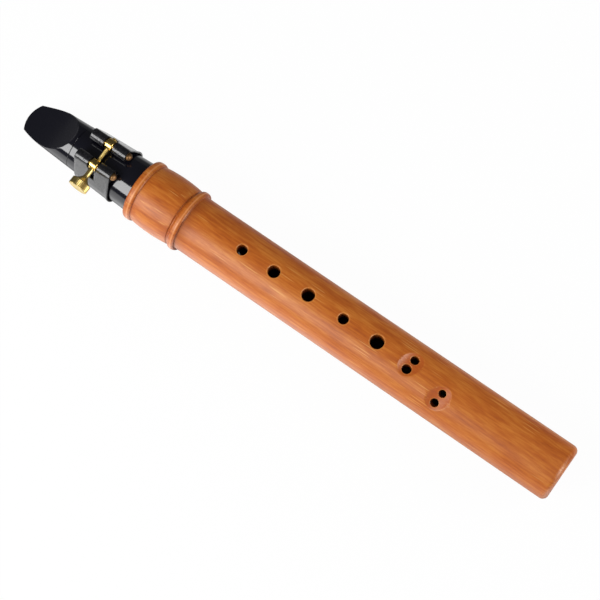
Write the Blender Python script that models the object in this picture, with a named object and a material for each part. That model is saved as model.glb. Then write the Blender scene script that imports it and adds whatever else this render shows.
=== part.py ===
"""A small keyless clarinet lying on its side with the finger holes up.

Sizes are in metres. X runs from the tip of the mouthpiece to the foot, Z points
up through the finger holes, and Y points away from the knob of the ligature.
"""

import math

import bmesh
import bpy
from mathutils import Matrix, Vector

MM = 0.001

# Turned body, measured from its mouth, which takes the mouthpiece, to its foot
BODY_LENGTH = 245.3 * MM
BODY_RADIUS = 14.68 * MM
BORE_RADIUS = 7.3 * MM
BORE_CHAMFER = 0.4 * MM
FOOT_ROUND = 3.0 * MM
SOCKET_CHAMFER = 0.5 * MM

# Beads and bulb at the head of the body; a rise is the height over the plain body
BEAD_FOOT_RISE = 0.8 * MM
BEAD_FULLNESS = 2.0
MOUTH_BEAD_WIDTH = 4.4 * MM
MOUTH_BEAD_RISE = 1.69 * MM
BULB_LENGTH = 21.2 * MM
BULB_RISE = 1.52 * MM
NECK_GROOVE_WIDTH = 1.4 * MM
NECK_GROOVE_DEPTH = 0.6 * MM
LOWER_BEAD_WIDTH = 3.7 * MM
LOWER_BEAD_RISE = 1.75 * MM

# Single finger holes: distance from the foot and diameter
FINGER_HOLES = (
    (183.1 * MM, 5.3 * MM),
    (164.4 * MM, 6.2 * MM),
    (144.4 * MM, 6.5 * MM),
    (124.1 * MM, 5.3 * MM),
    (104.8 * MM, 7.0 * MM),
)
THUMB_HOLE = (189.5 * MM, 5.6 * MM)

# Double holes in a dish: distance from the foot, turn about the body toward the
# knob side, and the diameters of the holes away from and toward the knob side
DOUBLE_HOLES = (
    (85.8 * MM, math.radians(-1.0), 4.3 * MM, 4.8 * MM),
    (66.4 * MM, math.radians(24.0), 3.8 * MM, 4.2 * MM),
)
DOUBLE_SPACING = 5.65 * MM
DOUBLE_SLANT = math.radians(-9.0)
DISH_LENGTH = 10.9 * MM
DISH_DEPTH = 1.55 * MM

# Mouthpiece, measured from its tip
MOUTHPIECE_LENGTH = 71.8 * MM
JOINT_GAP = 0.3 * MM
TIP_RADIUS = 9.91 * MM
SHANK_RADIUS = 13.57 * MM
MOUTHPIECE_BORE_RADIUS = 7.4 * MM
CHAMBER_BORE_RADIUS = 6.9 * MM
TENON_RADIUS = 11.0 * MM
TENON_LENGTH = 18.5 * MM
TENON_ROUND = 0.5 * MM
SOCKET_END_CLEARANCE = 0.5 * MM
SCORE_RING_POSITION = 34.3 * MM
SCORE_RING_WIDTH = 0.4 * MM
SCORE_RING_DEPTH = 0.3 * MM

# Cork sleeve in the groove of the tenon
CORK_START = 2.2 * MM
CORK_LENGTH = 13.6 * MM
CORK_GROOVE_DEPTH = 0.9 * MM
CORK_SEAT_CLEARANCE = 0.25 * MM
CORK_PROUD = 0.5 * MM
CORK_CLEARANCE = 0.2 * MM
CORK_ROUND = 0.3 * MM

# Beak above, table and facing below
BEAK_LENGTH = 32.0 * MM
BEAK_CURVE = 1.6
TIP_THICKNESS = 0.9 * MM
TIP_CURVE_RADIUS = 14.0 * MM
FLANK_TIP_WIDTH = 13.8 * MM
FLANK_LENGTH = 18.0 * MM
FLANK_CURVE = 1.6
TABLE_TIP_DEPTH = 7.8 * MM
TABLE_SLOPE = 0.0567
TABLE_RUNOUT = 1.1 * MM
FACING_LENGTH = 18.0 * MM
TIP_OPENING = 1.1 * MM

# Window under the reed and the chamber behind it
TIP_RAIL = 1.0 * MM
WINDOW_LENGTH = 33.0 * MM
WINDOW_TIP_WIDTH = 11.4 * MM
WINDOW_END_WIDTH = 8.6 * MM
WINDOW_END_SLOPE = 1.5 * MM
BAFFLE_RISE = 0.1 * MM
BAFFLE_LENGTH = 14.0 * MM
BAFFLE_HEIGHT = -3.6 * MM
CHAMBER_HEIGHT = 6.0 * MM
CHAMBER_LENGTH = 40.0 * MM

# Cane reed
REED_GAP = 0.3 * MM
REED_SETBACK = 0.3 * MM
REED_BUTT_MARGIN = 4.8 * MM
REED_TIP_WIDTH = 13.1 * MM
REED_BUTT_WIDTH = 11.4 * MM
REED_THICKNESS = 2.9 * MM
REED_TIP_THICKNESS = 0.25 * MM
REED_BACK_RADIUS = 13.5 * MM
REED_VAMP_LENGTH = 34.0 * MM
REED_TIP_CURVE_LENGTH = 9.0 * MM
REED_STATIONS = (0.0, 0.03, 0.07, 0.13, 0.2, 0.28, 0.34, 0.39, 0.44, 0.49, 0.54, 0.75, 1.0)

# Ligature band, whose two ends are rolled round brass rods
BAND_START = 40.1 * MM
BAND_WIDTH = 21.2 * MM
BAND_THICKNESS = 0.9 * MM
BAND_GAP = 0.3 * MM
ROLL_RADIUS = 3.1 * MM
ROLL_SEAM_ANGLE = math.radians(62.0)
ROD_SPREAD = 6.25 * MM
ROD_CLEARANCE = 0.3 * MM
ROD_RECESS = 1.2 * MM
ROD_STANDOUT = 2.1 * MM
ROD_CHAMFER = 0.25 * MM
BOSS_WIDTH = 3.9 * MM
BOSS_RISE = 1.05 * MM
BOSS_ROUND = 0.35 * MM
BAND_WINDOW_GAP = 0.7 * MM
FAR_SIDE_SLOT_DROP = 3.2 * MM
KNOB_SIDE_SLOT_DROP = 7.0 * MM

# Thumb screw across the two rods
THREAD_RADIUS = 1.1 * MM
SHOULDER_RADIUS = 1.3 * MM
THREAD_CLEARANCE = 0.1 * MM
NEAR_HOLE_CLEARANCE = 0.3 * MM
THREAD_END = 0.7 * MM
SHOULDER_GAP = 0.25 * MM
SHOULDER_LENGTH = 3.8 * MM
NECK_LENGTH = 3.55 * MM
NECK_RADIUS = 4.2 * MM
NECK_FLARE = 1.8
KNOB_RADIUS = 5.0 * MM
KNOB_LENGTH = 3.9 * MM
KNOB_CHAMFER = 0.35 * MM
KNURL_TEETH = 36
KNURL_DEPTH = 0.25 * MM

# Facets and the steps of the curves
BODY_SIDES = 64
MOUTHPIECE_SIDES = 64
BORE_SIDES = 32
HOLE_SIDES = 24
DRUM_SIDES = 72
ROD_SIDES = 24
BEAD_STEPS = 8
FOOT_STEPS = 6
FLANK_STEPS = 8
TIP_STEPS = 10
BEAK_STEPS = 12
FACING_STEPS = 8
REED_COLUMNS = 10
ROLL_STEPS = 16
BELT_STEPS = 18
BAND_STATIONS = 5
DOME_STEPS = 5
NECK_STEPS = 4
SMOOTH_ANGLE = math.radians(28.0)
CUT_MARGIN = 5.0 * MM
WELD_DISTANCE = 0.001 * MM

# Places that follow from the sizes above
TOTAL_LENGTH = MOUTHPIECE_LENGTH + JOINT_GAP + BODY_LENGTH
BODY_START = TOTAL_LENGTH / 2.0 - BODY_LENGTH
TIP_X = -TOTAL_LENGTH / 2.0
BEAD_RADIUS = BODY_RADIUS + MOUTH_BEAD_RISE
SOCKET_RADIUS = TENON_RADIUS + CORK_PROUD + CORK_CLEARANCE
SOCKET_DEPTH = TENON_LENGTH + SOCKET_END_CLEARANCE - JOINT_GAP
REED_LENGTH = MOUTHPIECE_LENGTH - REED_SETBACK - REED_BUTT_MARGIN
BAND_END = BAND_START + BAND_WIDTH
SCREW_POSITION = BAND_START + BAND_WIDTH / 2.0
ROLL_BORE_RADIUS = ROLL_RADIUS - BAND_THICKNESS
ROD_RADIUS = ROLL_BORE_RADIUS - ROD_CLEARANCE
BOSS_RADIUS = ROD_RADIUS + BOSS_RISE
CUT_REACH = SHANK_RADIUS + BEAK_LENGTH


def mouthpiece_radius(x):
    """Radius of the tapered mouthpiece at x from its tip."""
    return TIP_RADIUS + (SHANK_RADIUS - TIP_RADIUS) * x / MOUTHPIECE_LENGTH


# The rolls rest on the widest part of the mouthpiece that the band covers
ROD_REACH = mouthpiece_radius(BAND_END) + BAND_GAP + ROLL_RADIUS
ROD_HEIGHT = math.sqrt(ROD_REACH ** 2 - ROD_SPREAD ** 2)
SHOULDER_START = ROD_SPREAD + BOSS_RADIUS + SHOULDER_GAP
KNOB_FACE = SHOULDER_START + SHOULDER_LENGTH + NECK_LENGTH + KNOB_LENGTH
FLAT_SHARE = math.cos(math.pi / BODY_SIDES)
AXIS_Z = BEAD_RADIUS * FLAT_SHARE
AXIS_Y = (KNOB_FACE - BEAD_RADIUS * FLAT_SHARE) / 2.0


def table_height(x):
    """Height of the flat table under the mouthpiece, below the axis."""
    return -TABLE_TIP_DEPTH - TABLE_SLOPE * x


def facing_height(x):
    """Height of the table with the facing curve that opens the tip."""
    share = max(0.0, 1.0 - x / FACING_LENGTH)
    return table_height(x) + TIP_OPENING * share ** 2


def beak_height(x):
    """Height of the hollow beak, from the tip to where it meets the top."""
    tip = facing_height(0.0) + TIP_THICKNESS
    top = mouthpiece_radius(BEAK_LENGTH)
    return tip + (top - tip) * max(0.0, x / BEAK_LENGTH) ** BEAK_CURVE


def reed_width(x):
    """Width of the reed at x from its tip."""
    return REED_TIP_WIDTH + (REED_BUTT_WIDTH - REED_TIP_WIDTH) * x / REED_LENGTH


def reed_thickness(x, y):
    """Thickness of the reed: an arched back that the vamp cuts down to the tip."""
    arched = REED_THICKNESS - y * y / (2.0 * REED_BACK_RADIUS)
    slope = (REED_THICKNESS - REED_TIP_THICKNESS) / REED_VAMP_LENGTH
    return min(arched, REED_TIP_THICKNESS + slope * x)


def clear_scene():
    """Remove every object that the new file starts with."""
    for item in list(bpy.data.objects):
        bpy.data.objects.remove(item, do_unlink=True)


def finish_mesh(bm, name):
    """Turn a bmesh into a linked object with its faces outward."""
    bmesh.ops.recalc_face_normals(bm, faces=bm.faces)
    mesh = bpy.data.meshes.new(name)
    bm.to_mesh(mesh)
    bm.free()
    item = bpy.data.objects.new(name, mesh)
    bpy.context.scene.collection.objects.link(item)
    return item


def shade(item):
    """Shade round faces smooth and keep real edges sharp."""
    item.data.shade_smooth()
    item.data.set_sharp_from_angle(angle=SMOOTH_ANGLE)


def lathe(name, profile, sides, closed=False):
    """Turn a profile of (x, radius) points about the X axis.

    The first point stands half a facet from the top, so that flats lie at the
    top, the bottom and both sides.
    """
    bm = bmesh.new()
    turn = math.pi / sides
    points = []
    for x, radius in profile:
        points.append(bm.verts.new((x, radius * math.sin(turn), radius * math.cos(turn))))
    edges = []
    for first, second in zip(points, points[1:]):
        edges.append(bm.edges.new((first, second)))
    if closed:
        edges.append(bm.edges.new((points[-1], points[0])))
    bmesh.ops.spin(
        bm,
        geom=points + edges,
        cent=(0.0, 0.0, 0.0),
        axis=(1.0, 0.0, 0.0),
        angle=2.0 * math.pi,
        steps=sides,
        use_merge=True,
    )
    bmesh.ops.remove_doubles(bm, verts=bm.verts, dist=WELD_DISTANCE)
    return finish_mesh(bm, name)


def strip_loft(name, stations):
    """Loft a closed body through stations of two facing rows of points."""
    bm = bmesh.new()
    rings = []
    for near_row, far_row in stations:
        loop = list(near_row) + list(reversed(far_row))
        rings.append([bm.verts.new(point) for point in loop])
    count = len(rings[0])
    for ring, following in zip(rings, rings[1:]):
        for i in range(count):
            j = (i + 1) % count
            bm.faces.new((ring[i], ring[j], following[j], following[i]))
    for ring in (rings[0], rings[-1]):
        for i in range(count // 2 - 1):
            bm.faces.new((ring[i], ring[i + 1], ring[count - 2 - i], ring[count - 1 - i]))
    return finish_mesh(bm, name)


def prism(name, outline, half_width):
    """Stand an (x, z) outline up across Y; half_width gives its half width at x."""
    bm = bmesh.new()
    left = [bm.verts.new((x, -half_width(x), z)) for x, z in outline]
    right = [bm.verts.new((x, half_width(x), z)) for x, z in outline]
    bm.faces.new(left)
    bm.faces.new(right)
    for i in range(len(outline)):
        j = (i + 1) % len(outline)
        bm.faces.new((left[i], left[j], right[j], right[i]))
    return finish_mesh(bm, name)


def add_pin(bm, start, direction, length, radius, sides=HOLE_SIDES):
    """Add a cylinder from start along direction to a bmesh."""
    toward = direction.normalized()
    turn = toward.to_track_quat('Z', 'Y').to_matrix().to_4x4()
    place = Matrix.Translation(start + toward * length / 2.0) @ turn
    bmesh.ops.create_cone(
        bm,
        cap_ends=True,
        segments=sides,
        radius1=radius,
        radius2=radius,
        depth=length,
        matrix=place,
    )


def cut(item, cutters):
    """Cut the cutters out of an object one after another and remove them."""
    for cutter in cutters:
        cutter.parent = item.parent
        cutter.location = item.location
        cutter.rotation_euler = item.rotation_euler
        cutter.hide_render = True
        cutter.display_type = 'WIRE'
        step = item.modifiers.new(cutter.name, 'BOOLEAN')
        step.operation = 'DIFFERENCE'
        step.solver = 'EXACT'
        step.object = cutter
    bpy.context.view_layer.update()
    graph = bpy.context.evaluated_depsgraph_get()
    result = bpy.data.meshes.new_from_object(item.evaluated_get(graph))
    item.modifiers.clear()
    item.data = result
    item.data.name = item.name
    for cutter in cutters:
        bpy.data.objects.remove(cutter, do_unlink=True)


def bead_profile(start, width, rise, steps):
    """Points of a full round bead over its foot radius."""
    base = BODY_RADIUS + BEAD_FOOT_RISE
    height = rise - BEAD_FOOT_RISE
    points = []
    for i in range(steps + 1):
        share = -math.cos(math.pi * i / steps)
        lift = (1.0 - abs(share) ** BEAD_FULLNESS) ** (1.0 / BEAD_FULLNESS)
        points.append((start + width * (1.0 + share) / 2.0, base + height * lift))
    return points


def bulb_profile(start, steps):
    """Points of the gently swelling bulb between the beads, ends left out."""
    base = BODY_RADIUS + BEAD_FOOT_RISE
    height = BULB_RISE - BEAD_FOOT_RISE
    points = []
    for i in range(1, steps + 1):
        share = 2.0 * i / steps - 1.0
        points.append((start + BULB_LENGTH * i / steps, base + height * (1.0 - share ** 2)))
    return points


def body_profile():
    """Closed profile of the body from the mouth over the outside and back by the bore."""
    points = bead_profile(0.0, MOUTH_BEAD_WIDTH, MOUTH_BEAD_RISE, BEAD_STEPS)
    points += bulb_profile(MOUTH_BEAD_WIDTH, BEAD_STEPS)
    groove = MOUTH_BEAD_WIDTH + BULB_LENGTH
    points.append((groove + NECK_GROOVE_WIDTH / 2.0, BODY_RADIUS + BEAD_FOOT_RISE - NECK_GROOVE_DEPTH))
    bead = groove + NECK_GROOVE_WIDTH
    points += bead_profile(bead, LOWER_BEAD_WIDTH, LOWER_BEAD_RISE, BEAD_STEPS)
    points.append((bead + LOWER_BEAD_WIDTH, BODY_RADIUS))
    for i in range(FOOT_STEPS + 1):
        angle = math.pi / 2.0 * i / FOOT_STEPS
        x = BODY_LENGTH - FOOT_ROUND * (1.0 - math.sin(angle))
        points.append((x, BODY_RADIUS - FOOT_ROUND * (1.0 - math.cos(angle))))
    points.append((BODY_LENGTH, BORE_RADIUS + BORE_CHAMFER))
    points.append((BODY_LENGTH - BORE_CHAMFER, BORE_RADIUS))
    points.append((SOCKET_DEPTH, BORE_RADIUS))
    points.append((SOCKET_DEPTH, SOCKET_RADIUS))
    points.append((SOCKET_CHAMFER, SOCKET_RADIUS))
    points.append((0.0, SOCKET_RADIUS + SOCKET_CHAMFER))
    return points


def outward(angle):
    """Direction out of the body, turned from the top toward the knob side."""
    return Vector((0.0, -math.sin(angle), math.cos(angle)))


def hole_cutter():
    """All finger holes and the thumb hole as pins from the bore's axis outward."""
    bm = bmesh.new()
    reach = BODY_RADIUS + CUT_MARGIN
    for from_foot, diameter in FINGER_HOLES:
        start = Vector((BODY_LENGTH - from_foot, 0.0, 0.0))
        add_pin(bm, start, outward(0.0), reach, diameter / 2.0)
    from_foot, diameter = THUMB_HOLE
    start = Vector((BODY_LENGTH - from_foot, 0.0, 0.0))
    add_pin(bm, start, outward(math.pi), reach, diameter / 2.0)
    for from_foot, angle, far_diameter, near_diameter in DOUBLE_HOLES:
        middle = Vector((BODY_LENGTH - from_foot, 0.0, 0.0))
        across = Matrix.Rotation(DOUBLE_SLANT, 3, outward(angle)) @ outward(angle + math.pi / 2.0)
        offset = across * DOUBLE_SPACING / 2.0
        add_pin(bm, middle + offset, outward(angle), reach, near_diameter / 2.0)
        add_pin(bm, middle - offset, outward(angle), reach, far_diameter / 2.0)
    return finish_mesh(bm, 'hole_cutter')


def dish_cutter():
    """Round drums laid across the body that hollow a dish for each double hole."""
    bm = bmesh.new()
    drum = ((DISH_LENGTH / 2.0) ** 2 + DISH_DEPTH ** 2) / (2.0 * DISH_DEPTH)
    half_length = BODY_RADIUS
    for from_foot, angle, far_diameter, near_diameter in DOUBLE_HOLES:
        up = outward(angle)
        across = Matrix.Rotation(DOUBLE_SLANT, 3, up) @ outward(angle + math.pi / 2.0)
        middle = Vector((BODY_LENGTH - from_foot, 0.0, 0.0))
        middle += up * (BODY_RADIUS - DISH_DEPTH + drum)
        start = middle - across * half_length
        add_pin(bm, start, across, 2.0 * half_length, drum, DRUM_SIDES)
    return finish_mesh(bm, 'dish_cutter')


def make_body():
    """Turned body with its beads, bulb, socket, bore, holes and dishes."""
    item = lathe('body', body_profile(), BODY_SIDES, closed=True)
    cut(item, [dish_cutter(), hole_cutter()])
    return item


def mouthpiece_profile():
    """Profile of the solid mouthpiece with its score ring, tenon and cork groove."""
    ring = SCORE_RING_POSITION
    half = SCORE_RING_WIDTH / 2.0
    shoulder = MOUTHPIECE_LENGTH
    groove = shoulder + CORK_START
    groove_radius = TENON_RADIUS - CORK_GROOVE_DEPTH
    end = shoulder + TENON_LENGTH
    return [
        (-CUT_MARGIN, 0.0),
        (-CUT_MARGIN, mouthpiece_radius(-CUT_MARGIN)),
        (ring - half, mouthpiece_radius(ring - half)),
        (ring, mouthpiece_radius(ring) - SCORE_RING_DEPTH),
        (ring + half, mouthpiece_radius(ring + half)),
        (shoulder, SHANK_RADIUS),
        (shoulder, TENON_RADIUS),
        (groove, TENON_RADIUS),
        (groove, groove_radius),
        (groove + CORK_LENGTH, groove_radius),
        (groove + CORK_LENGTH, TENON_RADIUS),
        (end - TENON_ROUND, TENON_RADIUS),
        (end, TENON_RADIUS - TENON_ROUND),
        (end, 0.0),
    ]


def tip_curve(y):
    """How far back the tip's arc lies at y from the middle."""
    return TIP_CURVE_RADIUS - math.sqrt(TIP_CURVE_RADIUS ** 2 - y * y)


def flank_half_width(x):
    """Half width of the mouthpiece seen from above, drawn in toward the tip."""
    full = mouthpiece_radius(FLANK_LENGTH)
    share = max(0.0, 1.0 - x / FLANK_LENGTH) ** FLANK_CURVE
    return full - (full - FLANK_TIP_WIDTH / 2.0) * share


def tip_outline():
    """Outline (x, y) of the tip from above: one flank, the tip's arc, the other flank."""
    corner_y = FLANK_TIP_WIDTH / 2.0
    for step in range(TIP_STEPS):
        corner_x = tip_curve(corner_y)
        corner_y = flank_half_width(corner_x)
    flank = []
    for i in range(FLANK_STEPS + 1):
        x = FLANK_LENGTH + (corner_x - FLANK_LENGTH) * i / FLANK_STEPS
        flank.append((x, flank_half_width(x)))
    arc = []
    for i in range(1, TIP_STEPS):
        y = corner_y * (1.0 - 2.0 * i / TIP_STEPS)
        arc.append((tip_curve(y), y))
    return flank + arc + [(x, -y) for x, y in reversed(flank)]


def tip_cutter():
    """Space round the tip, seen from above: a plate with the tip's outline let in."""
    bm = bmesh.new()
    outline = tip_outline()
    outline.append((FLANK_LENGTH + CUT_MARGIN, -CUT_REACH))
    outline.append((-CUT_REACH, -CUT_REACH))
    outline.append((-CUT_REACH, CUT_REACH))
    outline.append((FLANK_LENGTH + CUT_MARGIN, CUT_REACH))
    low = [bm.verts.new((x, y, -CUT_REACH)) for x, y in outline]
    high = [bm.verts.new((x, y, CUT_REACH)) for x, y in outline]
    bm.faces.new(low)
    bm.faces.new(high)
    for i in range(len(outline)):
        j = (i + 1) % len(outline)
        bm.faces.new((low[i], low[j], high[j], high[i]))
    return finish_mesh(bm, 'tip_cutter')


def beak_cutter():
    """Space above the beak."""
    over = BEAK_LENGTH + CUT_MARGIN
    outline = [(-CUT_REACH, beak_height(-CUT_REACH))]
    for i in range(BEAK_STEPS + 1):
        x = BEAK_LENGTH * i / BEAK_STEPS
        outline.append((x, beak_height(x)))
    outline.append((over, beak_height(over)))
    outline.append((over, CUT_REACH))
    outline.append((-CUT_REACH, CUT_REACH))
    return prism('beak_cutter', outline, lambda x: CUT_REACH)


def table_cutter():
    """Space below the table and its facing."""
    end = REED_SETBACK + REED_LENGTH + TABLE_RUNOUT
    outline = [(-CUT_MARGIN, facing_height(-CUT_MARGIN))]
    for i in range(FACING_STEPS + 1):
        x = FACING_LENGTH * i / FACING_STEPS
        outline.append((x, facing_height(x)))
    outline.append((end, table_height(end)))
    outline.append((end + TABLE_RUNOUT, -SHANK_RADIUS - CUT_MARGIN))
    outline.append((-CUT_MARGIN, -SHANK_RADIUS - CUT_MARGIN))
    return prism('table_cutter', outline, lambda x: CUT_REACH)


def chamber_cutter():
    """Window through the table and the chamber that leads from it to the bore."""
    front = TIP_RAIL + tip_curve(WINDOW_TIP_WIDTH / 2.0)
    outline = [
        (front, facing_height(front) - CUT_MARGIN),
        (front, facing_height(front) + BAFFLE_RISE),
        (BAFFLE_LENGTH, BAFFLE_HEIGHT),
        (WINDOW_LENGTH, CHAMBER_HEIGHT),
        (CHAMBER_LENGTH, CHAMBER_HEIGHT),
        (CHAMBER_LENGTH, -CHAMBER_HEIGHT),
        (WINDOW_LENGTH + WINDOW_END_SLOPE, -CHAMBER_HEIGHT),
        (WINDOW_LENGTH, table_height(WINDOW_LENGTH) - CUT_MARGIN),
    ]
    slope = (WINDOW_END_WIDTH - WINDOW_TIP_WIDTH) / WINDOW_LENGTH
    return prism('chamber_cutter', outline, lambda x: (WINDOW_TIP_WIDTH + slope * x) / 2.0)


def bore_cutter():
    """Slightly tapered bore from the tenon's end to the chamber."""
    start = CHAMBER_LENGTH - CUT_MARGIN
    end = MOUTHPIECE_LENGTH + TENON_LENGTH
    over = end + CUT_MARGIN
    profile = [
        (start, 0.0),
        (start, CHAMBER_BORE_RADIUS),
        (end, MOUTHPIECE_BORE_RADIUS),
        (over, MOUTHPIECE_BORE_RADIUS),
        (over, 0.0),
    ]
    return lathe('bore_cutter', profile, BORE_SIDES)


def make_mouthpiece():
    """Mouthpiece turned to a taper, then cut to its beak, table, window and bore."""
    item = lathe('mouthpiece', mouthpiece_profile(), MOUTHPIECE_SIDES)
    cut(item, [tip_cutter(), beak_cutter(), table_cutter(), chamber_cutter(), bore_cutter()])
    return item


def make_cork():
    """Cork sleeve with rounded ends."""
    inner = TENON_RADIUS - CORK_GROOVE_DEPTH + CORK_SEAT_CLEARANCE
    outer = TENON_RADIUS + CORK_PROUD
    start = CORK_START + CORK_SEAT_CLEARANCE
    end = CORK_START + CORK_LENGTH - CORK_SEAT_CLEARANCE
    profile = [
        (start, inner),
        (start, outer - CORK_ROUND),
        (start + CORK_ROUND, outer),
        (end - CORK_ROUND, outer),
        (end, outer - CORK_ROUND),
        (end, inner),
    ]
    return lathe('tenon_cork', profile, BORE_SIDES, closed=True)


def make_reed():
    """Reed with a flat face to the table, a curved tip, a vamp and an arched back."""
    stations = []
    for share in REED_STATIONS:
        x = REED_LENGTH * share
        flat_row = []
        back_row = []
        for i in range(REED_COLUMNS + 1):
            y = reed_width(x) * (i / REED_COLUMNS - 0.5)
            blend = max(0.0, 1.0 - x / REED_TIP_CURVE_LENGTH)
            place = REED_SETBACK + x + tip_curve(y) * blend
            top = table_height(place) - REED_GAP
            flat_row.append((place, y, top))
            back_row.append((place, y, top - reed_thickness(x, y)))
        stations.append((flat_row, back_row))
    return strip_loft('reed', stations)


def belt_point(x, angle):
    """Point (y, z) where a belt round the mouthpiece and the reed faces an angle."""
    y_way = math.sin(angle)
    z_way = math.cos(angle)
    radius = mouthpiece_radius(x)
    best = radius
    support = (radius * y_way, radius * z_way)
    along = x - REED_SETBACK
    back = table_height(x) - REED_GAP
    for i in range(REED_COLUMNS + 1):
        y = reed_width(along) * (i / REED_COLUMNS - 0.5)
        z = back - reed_thickness(along, y)
        if y * y_way + z * z_way > best:
            best = y * y_way + z * z_way
            support = (y, z)
    offset = BAND_GAP + BAND_THICKNESS / 2.0
    return support[0] + offset * y_way, support[1] + offset * z_way


def band_path(x):
    """Middle line of the band at x: a roll, the belt round the bottom, a roll."""
    middle = ROLL_RADIUS - BAND_THICKNESS / 2.0
    belt = mouthpiece_radius(x) + BAND_GAP + BAND_THICKNESS / 2.0
    lean = math.atan2(ROD_SPREAD, ROD_HEIGHT)
    tangent = lean + math.acos((belt - middle) / ROD_REACH)
    roll_start = tangent + ROLL_SEAM_ANGLE - 2.0 * math.pi
    half = []
    for i in range(ROLL_STEPS + 1):
        angle = roll_start + (tangent - roll_start) * i / ROLL_STEPS
        half.append((ROD_SPREAD + middle * math.sin(angle), ROD_HEIGHT + middle * math.cos(angle)))
    for i in range(BELT_STEPS + 1):
        half.append(belt_point(x, tangent + (math.pi - tangent) * i / BELT_STEPS))
    mirrored = [(-y, z) for y, z in reversed(half[:-1])]
    return half + mirrored


def band_station(x):
    """Outer and inner rows of the band at x, half its thickness to either side."""
    path = band_path(x)
    last = len(path) - 1
    outer = []
    inner = []
    for i, (y, z) in enumerate(path):
        before = path[max(i - 1, 0)]
        after = path[min(i + 1, last)]
        way = Vector((after[0] - before[0], after[1] - before[1])).normalized()
        side = Vector((-way.y, way.x)) * BAND_THICKNESS / 2.0
        outer.append((x - SCREW_POSITION, y + side.x, z + side.y))
        inner.append((x - SCREW_POSITION, y - side.x, z - side.y))
    return outer, inner


def band_window_cutter():
    """Windows that bare the bosses, with a longer slot on the knob side."""
    bm = bmesh.new()
    half = BOSS_WIDTH / 2.0 + BAND_WINDOW_GAP
    inner = ROD_SPREAD - ROLL_RADIUS - BAND_GAP
    outer = ROD_SPREAD + 2.0 * ROLL_RADIUS
    top = ROD_HEIGHT + 2.0 * ROLL_RADIUS
    for side, drop in ((1.0, FAR_SIDE_SLOT_DROP), (-1.0, KNOB_SIDE_SLOT_DROP)):
        bottom = ROD_HEIGHT - drop
        size = Matrix.Diagonal((2.0 * half, outer - inner, top - bottom, 1.0))
        middle = Vector((0.0, side * (inner + outer) / 2.0, (bottom + top) / 2.0))
        bmesh.ops.create_cube(bm, size=1.0, matrix=Matrix.Translation(middle) @ size)
    return finish_mesh(bm, 'band_window_cutter')


def make_band():
    """Ligature band with its rolled ends and windows."""
    spacing = BAND_WIDTH / (BAND_STATIONS - 1)
    stations = [band_station(BAND_START + spacing * i) for i in range(BAND_STATIONS)]
    item = strip_loft('ligature_band', stations)
    cut(item, [band_window_cutter()])
    return item


def make_post(name, hole_radius):
    """Brass rod with a boss drilled for the screw and a domed end toward the foot."""
    start = ROD_RECESS - BAND_WIDTH / 2.0
    end = BAND_WIDTH / 2.0 + ROD_STANDOUT
    boss = BOSS_WIDTH / 2.0
    profile = [
        (start, 0.0),
        (start, ROD_RADIUS - ROD_CHAMFER),
        (start + ROD_CHAMFER, ROD_RADIUS),
        (-boss, ROD_RADIUS),
        (-boss, BOSS_RADIUS - BOSS_ROUND),
        (BOSS_ROUND - boss, BOSS_RADIUS),
        (boss - BOSS_ROUND, BOSS_RADIUS),
        (boss, BOSS_RADIUS - BOSS_ROUND),
        (boss, ROD_RADIUS),
    ]
    for i in range(DOME_STEPS + 1):
        angle = math.pi / 2.0 * i / DOME_STEPS
        along = end - ROD_RADIUS * (1.0 - math.sin(angle))
        profile.append((along, ROD_RADIUS * math.cos(angle)))
    item = lathe(name, profile, ROD_SIDES)
    bm = bmesh.new()
    start = Vector((0.0, -2.0 * BOSS_RADIUS, 0.0))
    add_pin(bm, start, Vector((0.0, 1.0, 0.0)), 4.0 * BOSS_RADIUS, hole_radius)
    cut(item, [finish_mesh(bm, name + '_drill')])
    return item


def knurl(item):
    """Press straight teeth into the rim of the knob."""
    for vertex in item.data.vertices:
        radius = math.hypot(vertex.co.y, vertex.co.z)
        if radius > KNOB_RADIUS - KNOB_CHAMFER / 2.0:
            turn = math.atan2(vertex.co.y, vertex.co.z) / (math.pi / KNURL_TEETH)
            if int(math.floor(turn)) % 2:
                share = (radius - KNURL_DEPTH) / radius
                vertex.co.y *= share
                vertex.co.z *= share


def make_thumb_screw():
    """Thumb screw: thread, shoulder, flared neck and knurled knob, along local X."""
    neck = SHOULDER_START + SHOULDER_LENGTH
    knob = neck + NECK_LENGTH
    thread_end = -(ROD_SPREAD + BOSS_RADIUS + THREAD_END)
    profile = [
        (thread_end, 0.0),
        (thread_end, THREAD_RADIUS - THREAD_CLEARANCE),
        (thread_end + THREAD_CLEARANCE, THREAD_RADIUS),
        (SHOULDER_START, THREAD_RADIUS),
        (SHOULDER_START, SHOULDER_RADIUS),
    ]
    for i in range(NECK_STEPS + 1):
        share = i / NECK_STEPS
        flare = (NECK_RADIUS - SHOULDER_RADIUS) * share ** NECK_FLARE
        profile.append((neck + NECK_LENGTH * share, SHOULDER_RADIUS + flare))
    profile += [
        (knob, KNOB_RADIUS - KNOB_CHAMFER),
        (knob + KNOB_CHAMFER, KNOB_RADIUS),
        (KNOB_FACE - KNOB_CHAMFER, KNOB_RADIUS),
        (KNOB_FACE, KNOB_RADIUS - KNOB_CHAMFER),
        (KNOB_FACE, 0.0),
    ]
    item = lathe('thumb_screw', profile, 2 * KNURL_TEETH)
    knurl(item)
    return item


def material(name, color, roughness, metallic=0.0, coat=0.0):
    """A Principled material with the main values of a finish."""
    made = bpy.data.materials.new(name)
    made.use_nodes = True
    shader = made.node_tree.nodes['Principled BSDF']
    shader.inputs['Base Color'].default_value = (*color, 1.0)
    shader.inputs['Roughness'].default_value = roughness
    shader.inputs['Metallic'].default_value = metallic
    shader.inputs['Coat Weight'].default_value = coat
    made.diffuse_color = (*color, 1.0)
    return made


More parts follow.
